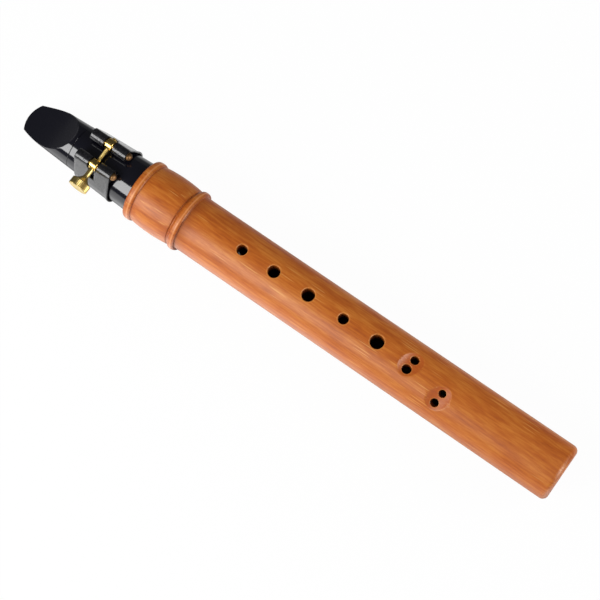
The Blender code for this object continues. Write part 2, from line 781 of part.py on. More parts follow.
def place(item, frame, location, finish):
    """Parent a piece to the instrument's axis, place it, shade it and dress it."""
    item.parent = frame
    item.location = location
    item.data.materials.clear()
    item.data.materials.append(finish)
    shade(item)


def main():
    """Build every piece of the clarinet in its resting place."""
    clear_scene()
    frame = bpy.data.objects.new('instrument_axis', None)
    bpy.context.scene.collection.objects.link(frame)
    frame.location = (0.0, AXIS_Y, AXIS_Z)
    brass = (0.79, 0.55, 0.16)
    shoulder_x = TIP_X + MOUTHPIECE_LENGTH
    screw_x = TIP_X + SCREW_POSITION
    place(make_body(), frame, (BODY_START, 0.0, 0.0),
          material('oiled_pear_wood', (0.55, 0.20, 0.045), 0.36, coat=0.25))
    place(make_mouthpiece(), frame, (TIP_X, 0.0, 0.0),
          material('polished_ebonite', (0.012, 0.012, 0.016), 0.16))
    place(make_cork(), frame, (shoulder_x, 0.0, 0.0),
          material('greased_cork', (0.55, 0.36, 0.2), 0.8))
    place(make_reed(), frame, (TIP_X, 0.0, 0.0),
          material('reed_cane', (0.78, 0.62, 0.32), 0.55))
    place(make_band(), frame, (screw_x, 0.0, 0.0),
          material('coated_fabric', (0.02, 0.02, 0.024), 0.45))
    near = make_post('near_post', THREAD_RADIUS + NEAR_HOLE_CLEARANCE)
    place(near, frame, (screw_x, -ROD_SPREAD, ROD_HEIGHT),
          material('near_post_brass', brass, 0.2, metallic=1.0))
    far = make_post('far_post', THREAD_RADIUS + THREAD_CLEARANCE)
    place(far, frame, (screw_x, ROD_SPREAD, ROD_HEIGHT),
          material('far_post_brass', brass, 0.2, metallic=1.0))
    screw = make_thumb_screw()
    place(screw, frame, (screw_x, 0.0, ROD_HEIGHT),
          material('thumb_screw_brass', brass, 0.3, metallic=1.0))
    screw.rotation_euler = (0.0, 0.0, -math.pi / 2.0)


main()
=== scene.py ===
"""Dressed model of a small keyless clarinet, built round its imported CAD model.

Lengths are in metres in the frame of the CAD model. X runs from the tip of the
mouthpiece to the foot, Z points up through the finger holes, and Y points away
from the knob of the ligature.
"""

import logging
import math
from dataclasses import dataclass
from enum import Enum
from functools import cached_property

import bmesh
import bpy
import numpy as np
from mathutils import Matrix, Vector


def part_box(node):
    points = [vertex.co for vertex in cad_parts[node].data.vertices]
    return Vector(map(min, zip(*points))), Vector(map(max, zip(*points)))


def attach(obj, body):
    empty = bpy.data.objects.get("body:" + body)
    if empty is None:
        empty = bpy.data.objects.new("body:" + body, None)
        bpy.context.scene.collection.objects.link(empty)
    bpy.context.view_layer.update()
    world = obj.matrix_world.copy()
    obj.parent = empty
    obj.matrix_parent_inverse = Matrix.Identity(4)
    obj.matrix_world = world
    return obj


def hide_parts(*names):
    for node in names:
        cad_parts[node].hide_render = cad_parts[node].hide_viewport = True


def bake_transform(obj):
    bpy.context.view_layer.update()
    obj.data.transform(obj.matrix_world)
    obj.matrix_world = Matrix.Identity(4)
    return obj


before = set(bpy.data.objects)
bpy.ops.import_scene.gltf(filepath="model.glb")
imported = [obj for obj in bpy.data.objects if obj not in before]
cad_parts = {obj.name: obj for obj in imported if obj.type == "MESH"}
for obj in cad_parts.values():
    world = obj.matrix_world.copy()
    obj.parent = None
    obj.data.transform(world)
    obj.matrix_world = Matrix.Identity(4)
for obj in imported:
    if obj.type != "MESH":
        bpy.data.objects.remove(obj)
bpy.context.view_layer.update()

LOG = logging.getLogger("clarinet")
MM = 0.001
TURN = 2.0 * math.pi
Array = np.ndarray
Socket = bpy.types.NodeSocket
Item = bpy.types.Object
Material = bpy.types.Material
Node, NodeTree = bpy.types.Node, bpy.types.NodeTree
VALUE, VECTOR = "NodeSocketFloat", "NodeSocketVector"
SMOOTH_ANGLE = 35.0
RISING, FALLING = (math.pi, math.pi / 2.0), (math.pi / 2.0, 0.0)


# Surfaces


def smooth_min(first: Array, second: Array, reach: float) -> Array:
    """The smaller of two fields, with the crease rounded where they are within reach.

    Formula: min(a, b) - h * h * reach / 4, with h = max(reach - |a - b|, 0) / reach.

    Args:
        first: one field.
        second: the other field.
        reach: the difference up to which the crease is rounded.

    Returns:
        The rounded minimum.
    """
    near = np.maximum(reach - np.abs(first - second), 0.0) / reach
    return np.minimum(first, second) - near * near * reach / 4.0


def smooth_step(low: float, high: float, value: Array) -> Array:
    """Share 3 s^2 - 2 s^3 of the way from low to high, held at 0 and 1 outside."""
    share = np.clip((value - low) / (high - low), 0.0, 1.0)
    return share * share * (3.0 - 2.0 * share)


def grid_quads(rows: int, columns: int, wrap_rows: bool = False,
               wrap_columns: bool = False, keep: Array | None = None) -> Array:
    """Quads of a grid whose vertex (i, j) has the number i * columns + j.

    Args:
        rows: number of rows of vertices.
        columns: number of vertices in a row.
        wrap_rows: whether the last row joins the first.
        wrap_columns: whether the last column joins the first.
        keep: mask of the cells to keep, or nothing for all of them.

    Returns:
        An array of four vertex numbers for each quad.
    """
    i, j = np.meshgrid(
        np.arange(rows if wrap_rows else rows - 1),
        np.arange(columns if wrap_columns else columns - 1),
        indexing="ij",
    )
    below, beside = (i + 1) % rows, (j + 1) % columns
    quads = np.stack(
        [i * columns + j, i * columns + beside, below * columns + beside, below * columns + j],
        axis=-1,
    )
    return quads.reshape(-1, 4) if keep is None else quads[keep]


def ring_quads(first: Array, second: Array) -> Array:
    """Quads between two closed rings of vertex numbers of equal length."""
    return np.stack([first, np.roll(first, -1), np.roll(second, -1), second], axis=-1)


def around_axis(along: Array, radius: Array, angle: Array) -> Array:
    """Points at a radius and an angle from the top, turned toward the knob side.

    Formula: (x, -r sin(angle), r cos(angle)).
    """
    along, radius, angle = np.broadcast_arrays(along, radius, angle)
    return np.stack([along, -radius * np.sin(angle), radius * np.cos(angle)], axis=-1)


def revolve(profile: Array, columns: int, closed: bool = False) -> tuple[Array, Array]:
    """Surface of revolution of a profile of (along, radius) points about X.

    Args:
        profile: the points of the profile, in order.
        columns: number of steps round the axis.
        closed: whether the profile's last point joins its first.

    Returns:
        The points and the quads.
    """
    angle = TURN * np.arange(columns) / columns
    points = around_axis(profile[:, :1], profile[:, 1:2], angle[None, :])
    return points.reshape(-1, 3), grid_quads(len(profile), columns, closed, True)


def arc_points(centre: tuple[float, float], radius: float, start: float, end: float,
               steps: int) -> Array:
    """Points of a circular arc in (along, radius), from start to end in radians.

    Formula: centre + radius * (cos(angle), sin(angle)).
    """
    angle = np.linspace(start, end, steps + 1)
    return np.stack([centre[0] + radius * np.cos(angle), centre[1] + radius * np.sin(angle)], -1)


def link_new(name: str, data: bpy.types.ID) -> Item:
    """A new object at the origin, in the scene."""
    item = bpy.data.objects.new(name, data)
    bpy.context.scene.collection.objects.link(item)
    return item


def shade(item: Item, angle: float = SMOOTH_ANGLE) -> None:
    """Shade a piece smooth across edges up to an angle in degrees."""
    item.data.shade_smooth()
    item.data.set_sharp_from_angle(angle=math.radians(angle))


def straight(start: float, end: float, radius: float, count: int) -> Array:
    """Evenly spaced points of a plain stretch in (along, radius)."""
    return np.stack([np.linspace(start, end, count), np.full(count, radius)], -1)


def make_piece(name: str, points: Array, faces: list[Array], smooth_angle: float = SMOOTH_ANGLE,
               marks: dict[str, Array] | None = None) -> Item:
    """Put points and faces into a closed mesh with its faces outward.

    Args:
        name: the name of the piece.
        points: an array of points, already in place; those without a face are dropped.
        faces: arrays of vertex numbers, one array for each count of corners.
        smooth_angle: degrees up to which an edge is shaded smooth.
        marks: masks by name, one value or vector for each point.

    Returns:
        The new object.
    """
    used = np.zeros(len(points), bool)
    used[np.concatenate([block.ravel() for block in faces])] = True
    number = np.cumsum(used) - 1
    mesh = bpy.data.meshes.new(name)
    mesh.from_pydata(points[used].tolist(), [],
                     [face for block in faces for face in number[block].tolist()])
    for mark, values in (marks or {}).items():
        kind, field = ("FLOAT", "value") if values.ndim == 1 else ("FLOAT_VECTOR", "vector")
        mesh.attributes.new(mark, kind, "POINT").data.foreach_set(
            field, values[used].astype(np.float32).ravel())
    item = link_new(name, mesh)
    bm = bmesh.new()
    bm.from_mesh(mesh)
    bmesh.ops.remove_doubles(bm, verts=bm.verts, dist=0.001 * MM)
    bmesh.ops.recalc_face_normals(bm, faces=bm.faces)
    bm.to_mesh(mesh)
    bm.free()
    shade(item, smooth_angle)
    return item


def apply_modifiers(item: Item) -> None:
    """Make the mesh what its modifiers show, and clear them.

    Args:
        item: the piece.
    """
    bpy.context.view_layer.update()
    graph = bpy.context.evaluated_depsgraph_get()
    result = bpy.data.meshes.new_from_object(item.evaluated_get(graph))
    item.modifiers.clear()
    item.data = result
    item.data.name = item.name
    shade(item)


def carve(item: Item, cutters: list[Item]) -> None:
    """Cut the cutters out of a piece and remove them.

    Args:
        item: the piece.
        cutters: closed meshes that overlap it.
    """
    for cutter in cutters:
        step = item.modifiers.new(cutter.name, "BOOLEAN")
        step.operation, step.solver, step.object = "DIFFERENCE", "EXACT", cutter
    apply_modifiers(item)
    for cutter in cutters:
        bpy.data.objects.remove(cutter, do_unlink=True)


def round_edges(item: Item, width: float, angle: float) -> None:
    """Bevel a piece's sharp edges, and keep the result.

    Args:
        item: the piece.
        width: width of the bevel.
        angle: degrees above which an edge is sharp.
    """
    step = item.modifiers.new("soft_edges", "BEVEL")
    step.width, step.segments = width, 2
    step.limit_method, step.angle_limit = "ANGLE", math.radians(angle)
    step.harden_normals = False
    apply_modifiers(item)


# Finishes


@dataclass(frozen=True)
class Layer:
    """A noise stretched along its axes and spread between two of its values."""

    stretch: tuple
    low: float
    high: float
    detail: float = 1.0
    roughness: float = 0.5
    shift: tuple = (0.0, 0.0, 0.0)


@dataclass(frozen=True)
class Flecks:
    """Sparse specks: how closely they lie, the share of cells with one and its size."""

    stretch: tuple
    share: float
    size: float


@dataclass(frozen=True)
class Stain:
    """A colour that lies over a finish by a mask and this weight."""

    color: tuple
    weight: float


class Graph:
    """A node tree with short calls to add and join nodes."""

    def __init__(self, tree: NodeTree) -> None:
        """Keep the tree."""
        self.tree = tree

    def feed(self, node: Node, inputs: dict) -> None:
        """Join sockets to a node's inputs and set the others to their values.

        Args:
            node: the node.
            inputs: values or sockets, by the input's name or number.
        """
        for name, value in inputs.items():
            if isinstance(value, Socket):
                self.tree.links.new(value, node.inputs[name])
            else:
                node.inputs[name].default_value = value

    def add(self, kind: str, inputs: dict | None = None, **settings: object) -> Node:
        """Add a node.

        Args:
            kind: the node's type in Blender.
            inputs: values or sockets for its inputs, by name or number.
            settings: the node's own settings.

        Returns:
            The new node.
        """
        node = self.tree.nodes.new(kind)
        for name, value in settings.items():
            setattr(node, name, value)
        self.feed(node, inputs or {})
        return node

    def math(self, operation: str, *inputs: object) -> Socket:
        """Result of a Math node."""
        return self.add("ShaderNodeMath", dict(enumerate(inputs)), operation=operation).outputs[0]

    def weighted(self, base: object, *terms: tuple) -> Socket:
        """Sum of a base and terms.

        Args:
            base: the value or socket that the sum starts from.
            terms: pairs of a socket and its weight.

        Returns:
            The sum.
        """
        for value, weight in terms:
            base = self.math("MULTIPLY_ADD", value, weight, base)
        return base

    def ramp(self, value: Socket, low: float, high: float) -> Socket:
        """Share of the way from low to high, smooth at both ends."""
        inputs = {"Value": value, "From Min": low, "From Max": high}
        return self.add("ShaderNodeMapRange", inputs, interpolation_type="SMOOTHSTEP").outputs[0]

    def between(self, value: Socket, low: float, high: float) -> Socket:
        """A value of 0 to 1 spread from low to high."""
        node = self.add("ShaderNodeMapRange", {"Value": value, "To Min": low, "To Max": high})
        return node.outputs["Result"]

    def choice(self, share: Socket, first: object, second: object) -> Socket:
        """A number mixed from two by a share."""
        return self.add("ShaderNodeMix", {0: share, 2: first, 3: second},
                        data_type="FLOAT").outputs[0]

    def mix(self, share: object, first: object, second: object) -> Socket:
        """Colour mixed from two by a share.

        Args:
            share: the share of the second, as a socket or value.
            first: a colour or its socket.
            second: the other colour or its socket.

        Returns:
            The mixed colour.
        """
        inputs = {number: value if isinstance(value, Socket) else (*value, 1.0)
                  for number, value in ((6, first), (7, second))}
        return self.add("ShaderNodeMix", {0: share, **inputs}, data_type="RGBA").outputs[2]

    def stained(self, color: object, *stains: tuple) -> Socket:
        """Colour with stains over it.

        Args:
            color: the colour or socket under the stains.
            stains: pairs of a mask and its Stain, the lowest first.

        Returns:
            The stained colour.
        """
        for mask, stain in stains:
            color = self.mix(self.math("MULTIPLY", mask, stain.weight), color, stain.color)
        return color

    def noise(self, vector: Socket, scale: float, detail: float = 3.0,
              roughness: float = 0.5) -> Socket:
        """Value of a noise at a vector."""
        node = self.add("ShaderNodeTexNoise", {
            "Vector": vector, "Scale": scale, "Detail": detail, "Roughness": roughness})
        return node.outputs["Fac"]

    def stretched(self, vector: Socket, stretch: tuple, shift: tuple = (0.0, 0.0, 0.0)) -> Socket:
        """A vector stretched and shifted along its axes."""
        node = self.add("ShaderNodeMapping", {
            "Vector": vector, "Location": shift, "Scale": stretch})
        return node.outputs["Vector"]

    def layer(self, vector: Socket, layer: Layer) -> Socket:
        """Mask of a layer of noise at a vector."""
        noise = self.noise(self.stretched(vector, layer.stretch, layer.shift), 1.0,
                           layer.detail, layer.roughness)
        return self.ramp(noise, layer.low, layer.high)

    def scaled(self, vector: Socket, factor: Socket) -> Socket:
        """A vector times a number."""
        node = self.add("ShaderNodeVectorMath", {0: vector, "Scale": factor}, operation="SCALE")
        return node.outputs[0]

    def mark(self, name: str) -> Socket:
        """Value of a mask that the mesh carries."""
        return self.add("ShaderNodeAttribute", attribute_name=name).outputs["Fac"]

    def place(self) -> Socket:
        """The Object coordinates."""
        return self.add("ShaderNodeTexCoord").outputs["Object"]


def new_group(name: str, inputs: dict[str, str], outputs: tuple[str, ...]) -> tuple[
        Graph, Node, Node]:
    """Start a shader node group with named sockets.

    Args:
        name: the name of the group.
        inputs: socket types of its inputs, by name.
        outputs: names of its outputs, which are all numbers.

    Returns:
        The group's graph, its input node and its output node.
    """
    tree = bpy.data.node_groups.new(name, "ShaderNodeTree")
    for label, kind in inputs.items():
        tree.interface.new_socket(name=label, in_out="INPUT", socket_type=kind)
    for label in outputs:
        tree.interface.new_socket(name=label, in_out="OUTPUT", socket_type=VALUE)
    graph = Graph(tree)
    return graph, graph.add("NodeGroupInput"), graph.add("NodeGroupOutput")


@dataclass(frozen=True)
class Effects:
    """Node groups that more than one finish uses."""

    drift: tuple = (0.02, 0.12, 0.12)
    fine: Layer = Layer((0.08, 1.0, 1.0), 0.3, 0.7, 4.0, 0.66)
    broad: Layer = Layer((0.012, 0.16, 0.16), 0.32, 0.68, 2.0, 0.55)
    pores: Layer = Layer((0.16, 2.4, 2.4), 0.62, 0.74, shift=(5.0, 2.0, 1.0))
    smears: Layer = Layer((0.35, 0.35, 0.35), 0.35, 0.7, 4.0, 0.6)
    hairlines: Layer = Layer((0.25, 9.0, 9.0), 0.68, 0.74)
    crossing: Layer = Layer((6.0, 0.4, 0.4), 0.7, 0.76, shift=(3.0, 1.0, 0.0))

    @cached_property
    def fibre_group(self) -> NodeTree:
        """Fibres along X: fine noise squeezed along the grain, over broad bands.

        Returns:
            The group.
        """
        graph, given, out = new_group(
            "lengthwise_fibre", {"Vector": VECTOR, "Fineness": VALUE}, ("Fine", "Broad", "Pores"))
        vector = graph.scaled(given.outputs["Vector"], given.outputs["Fineness"])
        drift = graph.add("ShaderNodeTexNoise", {
            "Vector": graph.stretched(vector, self.drift), "Scale": 1.0})
        bent = graph.add("ShaderNodeVectorMath", {0: vector, 1: drift.outputs["Color"]},
                         operation="ADD").outputs[0]
        graph.feed(out, {"Fine": graph.layer(bent, self.fine),
                         "Broad": graph.layer(bent, self.broad),
                         "Pores": graph.layer(bent, self.pores)})
        return graph.tree

    @cached_property
    def flecks_group(self) -> NodeTree:
        """Sparse specks: the middles of cells whose own chance is high.

        Returns:
            The group.
        """
        graph, given, out = new_group(
            "sparse_flecks", {"Vector": VECTOR, "Share": VALUE, "Size": VALUE}, ("Mask",))
        cells = graph.add("ShaderNodeTexVoronoi", {
            "Vector": given.outputs["Vector"], "Scale": 1.0, "Randomness": 1.0})
        chance = graph.add("ShaderNodeSeparateColor", {"Color": cells.outputs["Color"]})
        kept = graph.math("LESS_THAN", chance.outputs[0], given.outputs["Share"])
        near = graph.math("DIVIDE", cells.outputs["Distance"], given.outputs["Size"])
        spot = graph.math("SUBTRACT", 1.0, graph.ramp(near, 0.5, 1.0))
        graph.feed(out, {"Mask": graph.math("MULTIPLY", kept, spot)})
        return graph.tree

    @cached_property
    def scuffs_group(self) -> NodeTree:
        """Handling marks: cloudy smears crossed by thin hairlines in two ways.

        Returns:
            The group.
        """
        graph, given, out = new_group(
            "handling_scuffs", {"Vector": VECTOR, "Fineness": VALUE}, ("Smears", "Hairlines"))
        vector = graph.scaled(given.outputs["Vector"], given.outputs["Fineness"])
        lines = graph.math("MAXIMUM", graph.layer(vector, self.hairlines),
                           graph.layer(vector, self.crossing))
        graph.feed(out, {"Smears": graph.layer(vector, self.smears), "Hairlines": lines})
        return graph.tree


@dataclass(frozen=True)
class Finish:
    """What all finishes share: a Principled material, its effects and its bump."""

    effects: Effects

    def start(self, name: str) -> tuple[Material, Graph, Node]:
        """A new material, its graph and its shader.

        Args:
            name: the name of the finish.

        Returns:
            The material, the graph and the Principled node.
        """
        made = bpy.data.materials.new(name)
        made.use_nodes = True
        return made, Graph(made.node_tree), made.node_tree.nodes["Principled BSDF"]

    def group(self, graph: Graph, tree: NodeTree, **inputs: object) -> dict:
        """Place an effect in a material with its own values.

        Args:
            graph: the material's graph.
            tree: the effect.
            inputs: its values or sockets, by name.

        Returns:
            The effect's outputs, by name.
        """
        return graph.add("ShaderNodeGroup", inputs, node_tree=tree).outputs

    def flecks(self, graph: Graph, vector: Socket, flecks: Flecks) -> Socket:
        """Mask of sparse specks at a vector."""
        return self.group(graph, self.effects.flecks_group, Share=flecks.share,
                          Size=flecks.size,
                          Vector=graph.stretched(vector, flecks.stretch))["Mask"]

    def bump(self, graph: Graph, height: Socket, depth: float, strength: float = 1.0) -> Socket:
        """Normal of a height of 0 to 1, in metres of depth."""
        return graph.add("ShaderNodeBump", {
            "Height": height, "Distance": depth, "Strength": strength}).outputs["Normal"]


@dataclass(frozen=True)
class OiledPearWood(Finish):
    """Orange-brown pear wood, oiled and rubbed, with fine lengthwise grain."""

    dark: tuple = (0.33, 0.058, 0.003)
    middle: tuple = (0.46, 0.106, 0.007)
    pale: tuple = (0.57, 0.178, 0.022)
    streak: tuple = (0.72, 0.34, 0.085)
    open_pores: Stain = Stain(dark, 0.35)
    streaked: Stain = Stain(streak, 0.58)
    dished: Stain = Stain((0.40, 0.070, 0.007), 0.6)
    # Painted highlight: the holes' rims and the dishes' edges are painted paler.
    rim_highlight: Stain = Stain(streak, 0.3)
    # Painted shade mixed with dirt: the beads' feet and the groove are painted darker.
    dirt_and_crease_shade: Stain = Stain((0.24, 0.040, 0.003), 0.6)
    # Painted highlight: the beads' crests are painted pale orange.
    crest_highlight: Stain = Stain((0.84, 0.37, 0.15), 0.6)
    # Painted shade: the bore and the holes' walls are painted near black.
    bore_shade: Stain = Stain((0.02, 0.008, 0.004), 0.86)
    fineness: float = 950.0
    figure: Layer = Layer((70.0, 180.0, 180.0), 0.3, 0.7, 3.0)
    streaks: Flecks = Flecks((60.0, 1500.0, 1500.0), 0.12, 0.42)
    tone_base: float = 0.1
    tone_of_broad: float = 0.22
    tone_of_fine: float = 0.56
    tone_of_figure: float = 0.34
    middle_tones: tuple = (0.05, 0.65)
    pale_tones: tuple = (0.5, 1.15)
    roughness: float = 0.52
    gloss_of_fine: float = 0.1
    gloss_of_rim: float = 0.12
    gloss_of_crest: float = 0.22
    specular: float = 0.38
    specular_tint: tuple = (1.0, 0.84, 0.62, 1.0)
    coat: float = 0.32
    coat_roughness: float = 0.37
    relief: float = 0.012 * MM
    relief_strength: float = 0.7
    fine_relief: float = 0.45
    pore_relief: float = 0.7

    def build(self) -> Material:
        """The material, with the grain as fibres in the solid wood.

        Returns:
            The material.
        """
        made, graph, shader = self.start("oiled_pear_wood")
        place = graph.place()
        fibre = self.group(graph, self.effects.fibre_group, Vector=place, Fineness=self.fineness)
        fine, broad, pores = fibre["Fine"], fibre["Broad"], fibre["Pores"]
        rim, crest = graph.mark("rim"), graph.mark("crest")
        tone = graph.weighted(self.tone_base, (broad, self.tone_of_broad),
                              (fine, self.tone_of_fine),
                              (graph.layer(place, self.figure), self.tone_of_figure))
        color = graph.mix(graph.ramp(tone, *self.middle_tones), self.dark, self.middle)
        color = graph.mix(graph.ramp(tone, *self.pale_tones), color, self.pale)
        # Painted light over the grain: highlights on the beads' crests, the holes' rims and the
        # dishes' edges, and shade, mixed with dirt, at the beads' feet, in the groove, in the holes
        # and in the bore.
        color = graph.stained(
            color, (pores, self.open_pores),
            (self.flecks(graph, place, self.streaks), self.streaked),
            (graph.mark("dish"), self.dished), (rim, self.rim_highlight),
            (graph.mark("dirt_and_crease_shade"), self.dirt_and_crease_shade), (crest, self.crest_highlight),
            (graph.mark("bore"), self.bore_shade))
        rough = graph.weighted(self.roughness, (fine, -self.gloss_of_fine),
                               (rim, -self.gloss_of_rim), (crest, -self.gloss_of_crest))
        height = graph.weighted(0.0, (fine, self.fine_relief), (pores, -self.pore_relief))
        graph.feed(shader, {
            "Base Color": color, "Roughness": rough,
            "Specular IOR Level": self.specular, "Specular Tint": self.specular_tint,
            "Coat Weight": self.coat, "Coat Roughness": self.coat_roughness,
            "Normal": self.bump(graph, height, self.relief, self.relief_strength)})
        return made


@dataclass(frozen=True)
class PolishedEbonite(Finish):
    """Black hard rubber, polished bright, with faint hairlines and worn edges."""

    color: tuple = (0.005, 0.005, 0.009)
    worn: tuple = (0.035, 0.034, 0.038)
    least_wear: float = 0.3
    scuff_fineness: float = 700.0
    roughness: float = 0.085
    dull_of_smears: float = 0.05
    dull_of_lines: float = 0.05
    dull_of_beak: float = 0.09
    dull_of_wear: float = 0.15
    refraction: float = 1.66
    relief: float = 0.002 * MM
    relief_strength: float = 0.5

    def build(self) -> Material:
        """The material, duller on the beak and at its worn edges.

        Returns:
            The material.
        """
        made, graph, shader = self.start("polished_ebonite")
        scuffs = self.group(graph, self.effects.scuffs_group, Vector=graph.place(),
                            Fineness=self.scuff_fineness)
        smears, lines = scuffs["Smears"], scuffs["Hairlines"]
        wear = graph.math("MULTIPLY", graph.mark("edge"),
                          graph.between(smears, self.least_wear, 1.0))
        rough = graph.weighted(
            self.roughness, (smears, self.dull_of_smears), (lines, self.dull_of_lines),
            (graph.mark("beak"), self.dull_of_beak), (wear, self.dull_of_wear))
        graph.feed(shader, {
            "Base Color": graph.mix(wear, self.color, self.worn), "Roughness": rough,
            "IOR": self.refraction,
            "Normal": self.bump(graph, lines, self.relief, self.relief_strength)})
        return made


@dataclass(frozen=True)
class GreasedCork(Finish):
    """Tan cork sheet, darker in its pores and slick with grease."""

    pale: tuple = (0.56, 0.36, 0.19)
    dark: tuple = (0.30, 0.16, 0.075)
    open_pores: Stain = Stain(dark, 0.7)
    pores: Flecks = Flecks((500.0, 900.0, 900.0), 0.4, 0.45)
    grain_scale: float = 1100.0
    cloud_scale: float = 420.0
    tone_of_grain: float = 0.8
    tone_of_cloud: float = 0.5
    dark_tones: tuple = (0.3, 0.9)
    roughness: tuple = (0.45, 0.75)
    relief: float = 0.05 * MM

    def build(self) -> Material:
        """The material: cork grains, pores and a greasy sheen.

        Returns:
            The material.
        """
        made, graph, shader = self.start("greased_cork")
        place = graph.place()
        grains = graph.add("ShaderNodeTexVoronoi", {"Vector": place, "Scale": self.grain_scale})
        pores = self.flecks(graph, place, self.pores)
        tone = graph.weighted(0.0, (grains.outputs["Distance"], self.tone_of_grain),
                              (graph.noise(place, self.cloud_scale), self.tone_of_cloud))
        color = graph.mix(graph.ramp(tone, *self.dark_tones), self.pale, self.dark)
        height = graph.weighted(1.0, (tone, -1.0), (pores, -1.0))
        graph.feed(shader, {
            "Base Color": graph.stained(color, (pores, self.open_pores)),
            "Roughness": graph.between(tone, *self.roughness),
            "Normal": self.bump(graph, height, self.relief)})
        return made


@dataclass(frozen=True)
class ReedCane(Finish):
    """Pale cane with straight fibres; the bark is glossier and yellower."""

    pale: tuple = (0.72, 0.53, 0.25)
    dark: tuple = (0.50, 0.32, 0.12)
    bark: tuple = (0.66, 0.50, 0.18)
    banded: Stain = Stain(dark, 0.5)
    spotted: Stain = Stain(dark, 0.6)
    spots: Flecks = Flecks((300.0, 420.0, 420.0), 0.1, 0.5)
    fineness: float = 2600.0
    roughness: float = 0.62
    gloss_of_bark: float = 0.3
    relief: float = 0.02 * MM

    def build(self) -> Material:
        """The material, with the bark where the vamp has not been cut.

        Returns:
            The material.
        """
        made, graph, shader = self.start("reed_cane")
        place = graph.place()
        fibre = self.group(graph, self.effects.fibre_group, Vector=place, Fineness=self.fineness)
        skin = graph.mark("bark")
        cut = graph.mix(fibre["Fine"], self.pale, self.dark)
        outer = graph.stained(self.bark, (fibre["Broad"], self.banded),
                              (self.flecks(graph, place, self.spots), self.spotted))
        graph.feed(shader, {
            "Base Color": graph.mix(skin, cut, outer),
            "Roughness": graph.weighted(self.roughness, (skin, -self.gloss_of_bark)),
            "Normal": self.bump(graph, fibre["Fine"], self.relief)})
        return made


@dataclass(frozen=True)
class CoatedFabric(Finish):
    """Black woven tape under a thin shiny coating."""

    thread: tuple = (0.010, 0.010, 0.012)
    gap: tuple = (0.003, 0.003, 0.004)
    pitch: float = 0.62 * MM
    crown_tones: tuple = (0.05, 0.5)
    dusted: Stain = Stain((0.03, 0.03, 0.033), 0.6)
    dust: Flecks = Flecks((1500.0, 1500.0, 1500.0), 0.4, 0.6)
    uneven_scale: float = 2600.0
    uneven_detail: float = 2.0
    roughness: tuple = (0.2, 0.36)
    dull_of_warp: float = 0.05
    specular: float = 0.25
    coat_lost_to_dust: float = 0.8
    coat_roughness: float = 0.07
    uneven_relief: float = 0.4
    relief: float = 0.03 * MM
    relief_strength: float = 0.8

    def build(self) -> Material:
        """The material: a plain weave that follows the band's own length and width.

        Returns:
            The material.
        """
        made, graph, shader = self.start("coated_fabric")
        weave = graph.add("ShaderNodeAttribute", attribute_name="weave").outputs["Vector"]
        split = graph.add("ShaderNodeSeparateXYZ", {"Vector": weave})
        waves = [graph.math("SINE", graph.math("MULTIPLY", split.outputs[axis], TURN / self.pitch))
                 for axis in (0, 1)]
        cross = graph.math("MULTIPLY", *waves)
        crown = graph.math("ABSOLUTE", cross)
        warp = graph.math("GREATER_THAN", cross, 0.0)
        uneven = graph.noise(weave, self.uneven_scale, self.uneven_detail)
        dust = self.flecks(graph, weave, self.dust)
        color = graph.mix(graph.ramp(crown, *self.crown_tones), self.gap, self.thread)
        height = graph.weighted(crown, (uneven, self.uneven_relief))
        graph.feed(shader, {
            "Base Color": graph.stained(color, (dust, self.dusted)),
            "Roughness": graph.weighted(graph.between(uneven, *self.roughness),
                                        (warp, self.dull_of_warp)),
            "Specular IOR Level": self.specular,
            "Coat Weight": graph.weighted(1.0, (dust, -self.coat_lost_to_dust)),
            "Coat Roughness": self.coat_roughness,
            "Normal": self.bump(graph, height, self.relief, self.relief_strength)})
        return made


class Polish(Enum):
    """How bright a brass piece is rubbed, as its roughness."""

    BRIGHT = 0.16
    SATIN = 0.34


@dataclass(frozen=True)
class Brass(Finish):
    """Yellow brass with fine turning lines and a little tarnish in its hollows."""

    name: str
    polish: Polish
    color: tuple = (0.86, 0.60, 0.18)
    tarnish: tuple = (0.42, 0.23, 0.06)
    # The rods' domed ends are painted dark brown and made duller.
    brown_tip: tuple = (0.23, 0.125, 0.055)
    scuff_fineness: float = 1800.0
    turning_stretch: tuple = (9000.0, 900.0, 300.0)
    turning_detail: float = 2.0
    tarnish_of_smears: float = 0.3
    dull_of_smears: float = 0.12
    dull_of_turning: float = 0.06
    dull_of_brown_tip: float = 0.3
    line_relief: float = 0.4
    relief: float = 0.004 * MM
    relief_strength: float = 0.6

    def build(self) -> Material:
        """The material, tarnished by a cloudy mask and in its hollows.

        Returns:
            The material.
        """
        made, graph, shader = self.start(self.name)
        place = graph.place()
        scuffs = self.group(graph, self.effects.scuffs_group, Vector=place,
                            Fineness=self.scuff_fineness)
        smears, lines = scuffs["Smears"], scuffs["Hairlines"]
        turned = graph.noise(graph.stretched(place, self.turning_stretch), 1.0,
                             self.turning_detail)
        dull = graph.math("MAXIMUM", graph.math("MULTIPLY", smears, self.tarnish_of_smears),
                          graph.mark("hollow"))
        brown_tip = graph.mark("brown_tip")
        color = graph.mix(brown_tip, graph.mix(dull, self.color, self.tarnish), self.brown_tip)
        rough = graph.weighted(
            self.polish.value, (smears, self.dull_of_smears), (turned, self.dull_of_turning),
            (brown_tip, self.dull_of_brown_tip))
        height = graph.weighted(turned, (lines, self.line_relief))
        graph.feed(shader, {
            "Base Color": color, "Roughness": rough, "Metallic": 1.0,
            "Normal": self.bump(graph, height, self.relief, self.relief_strength)})
        return made


# Layout


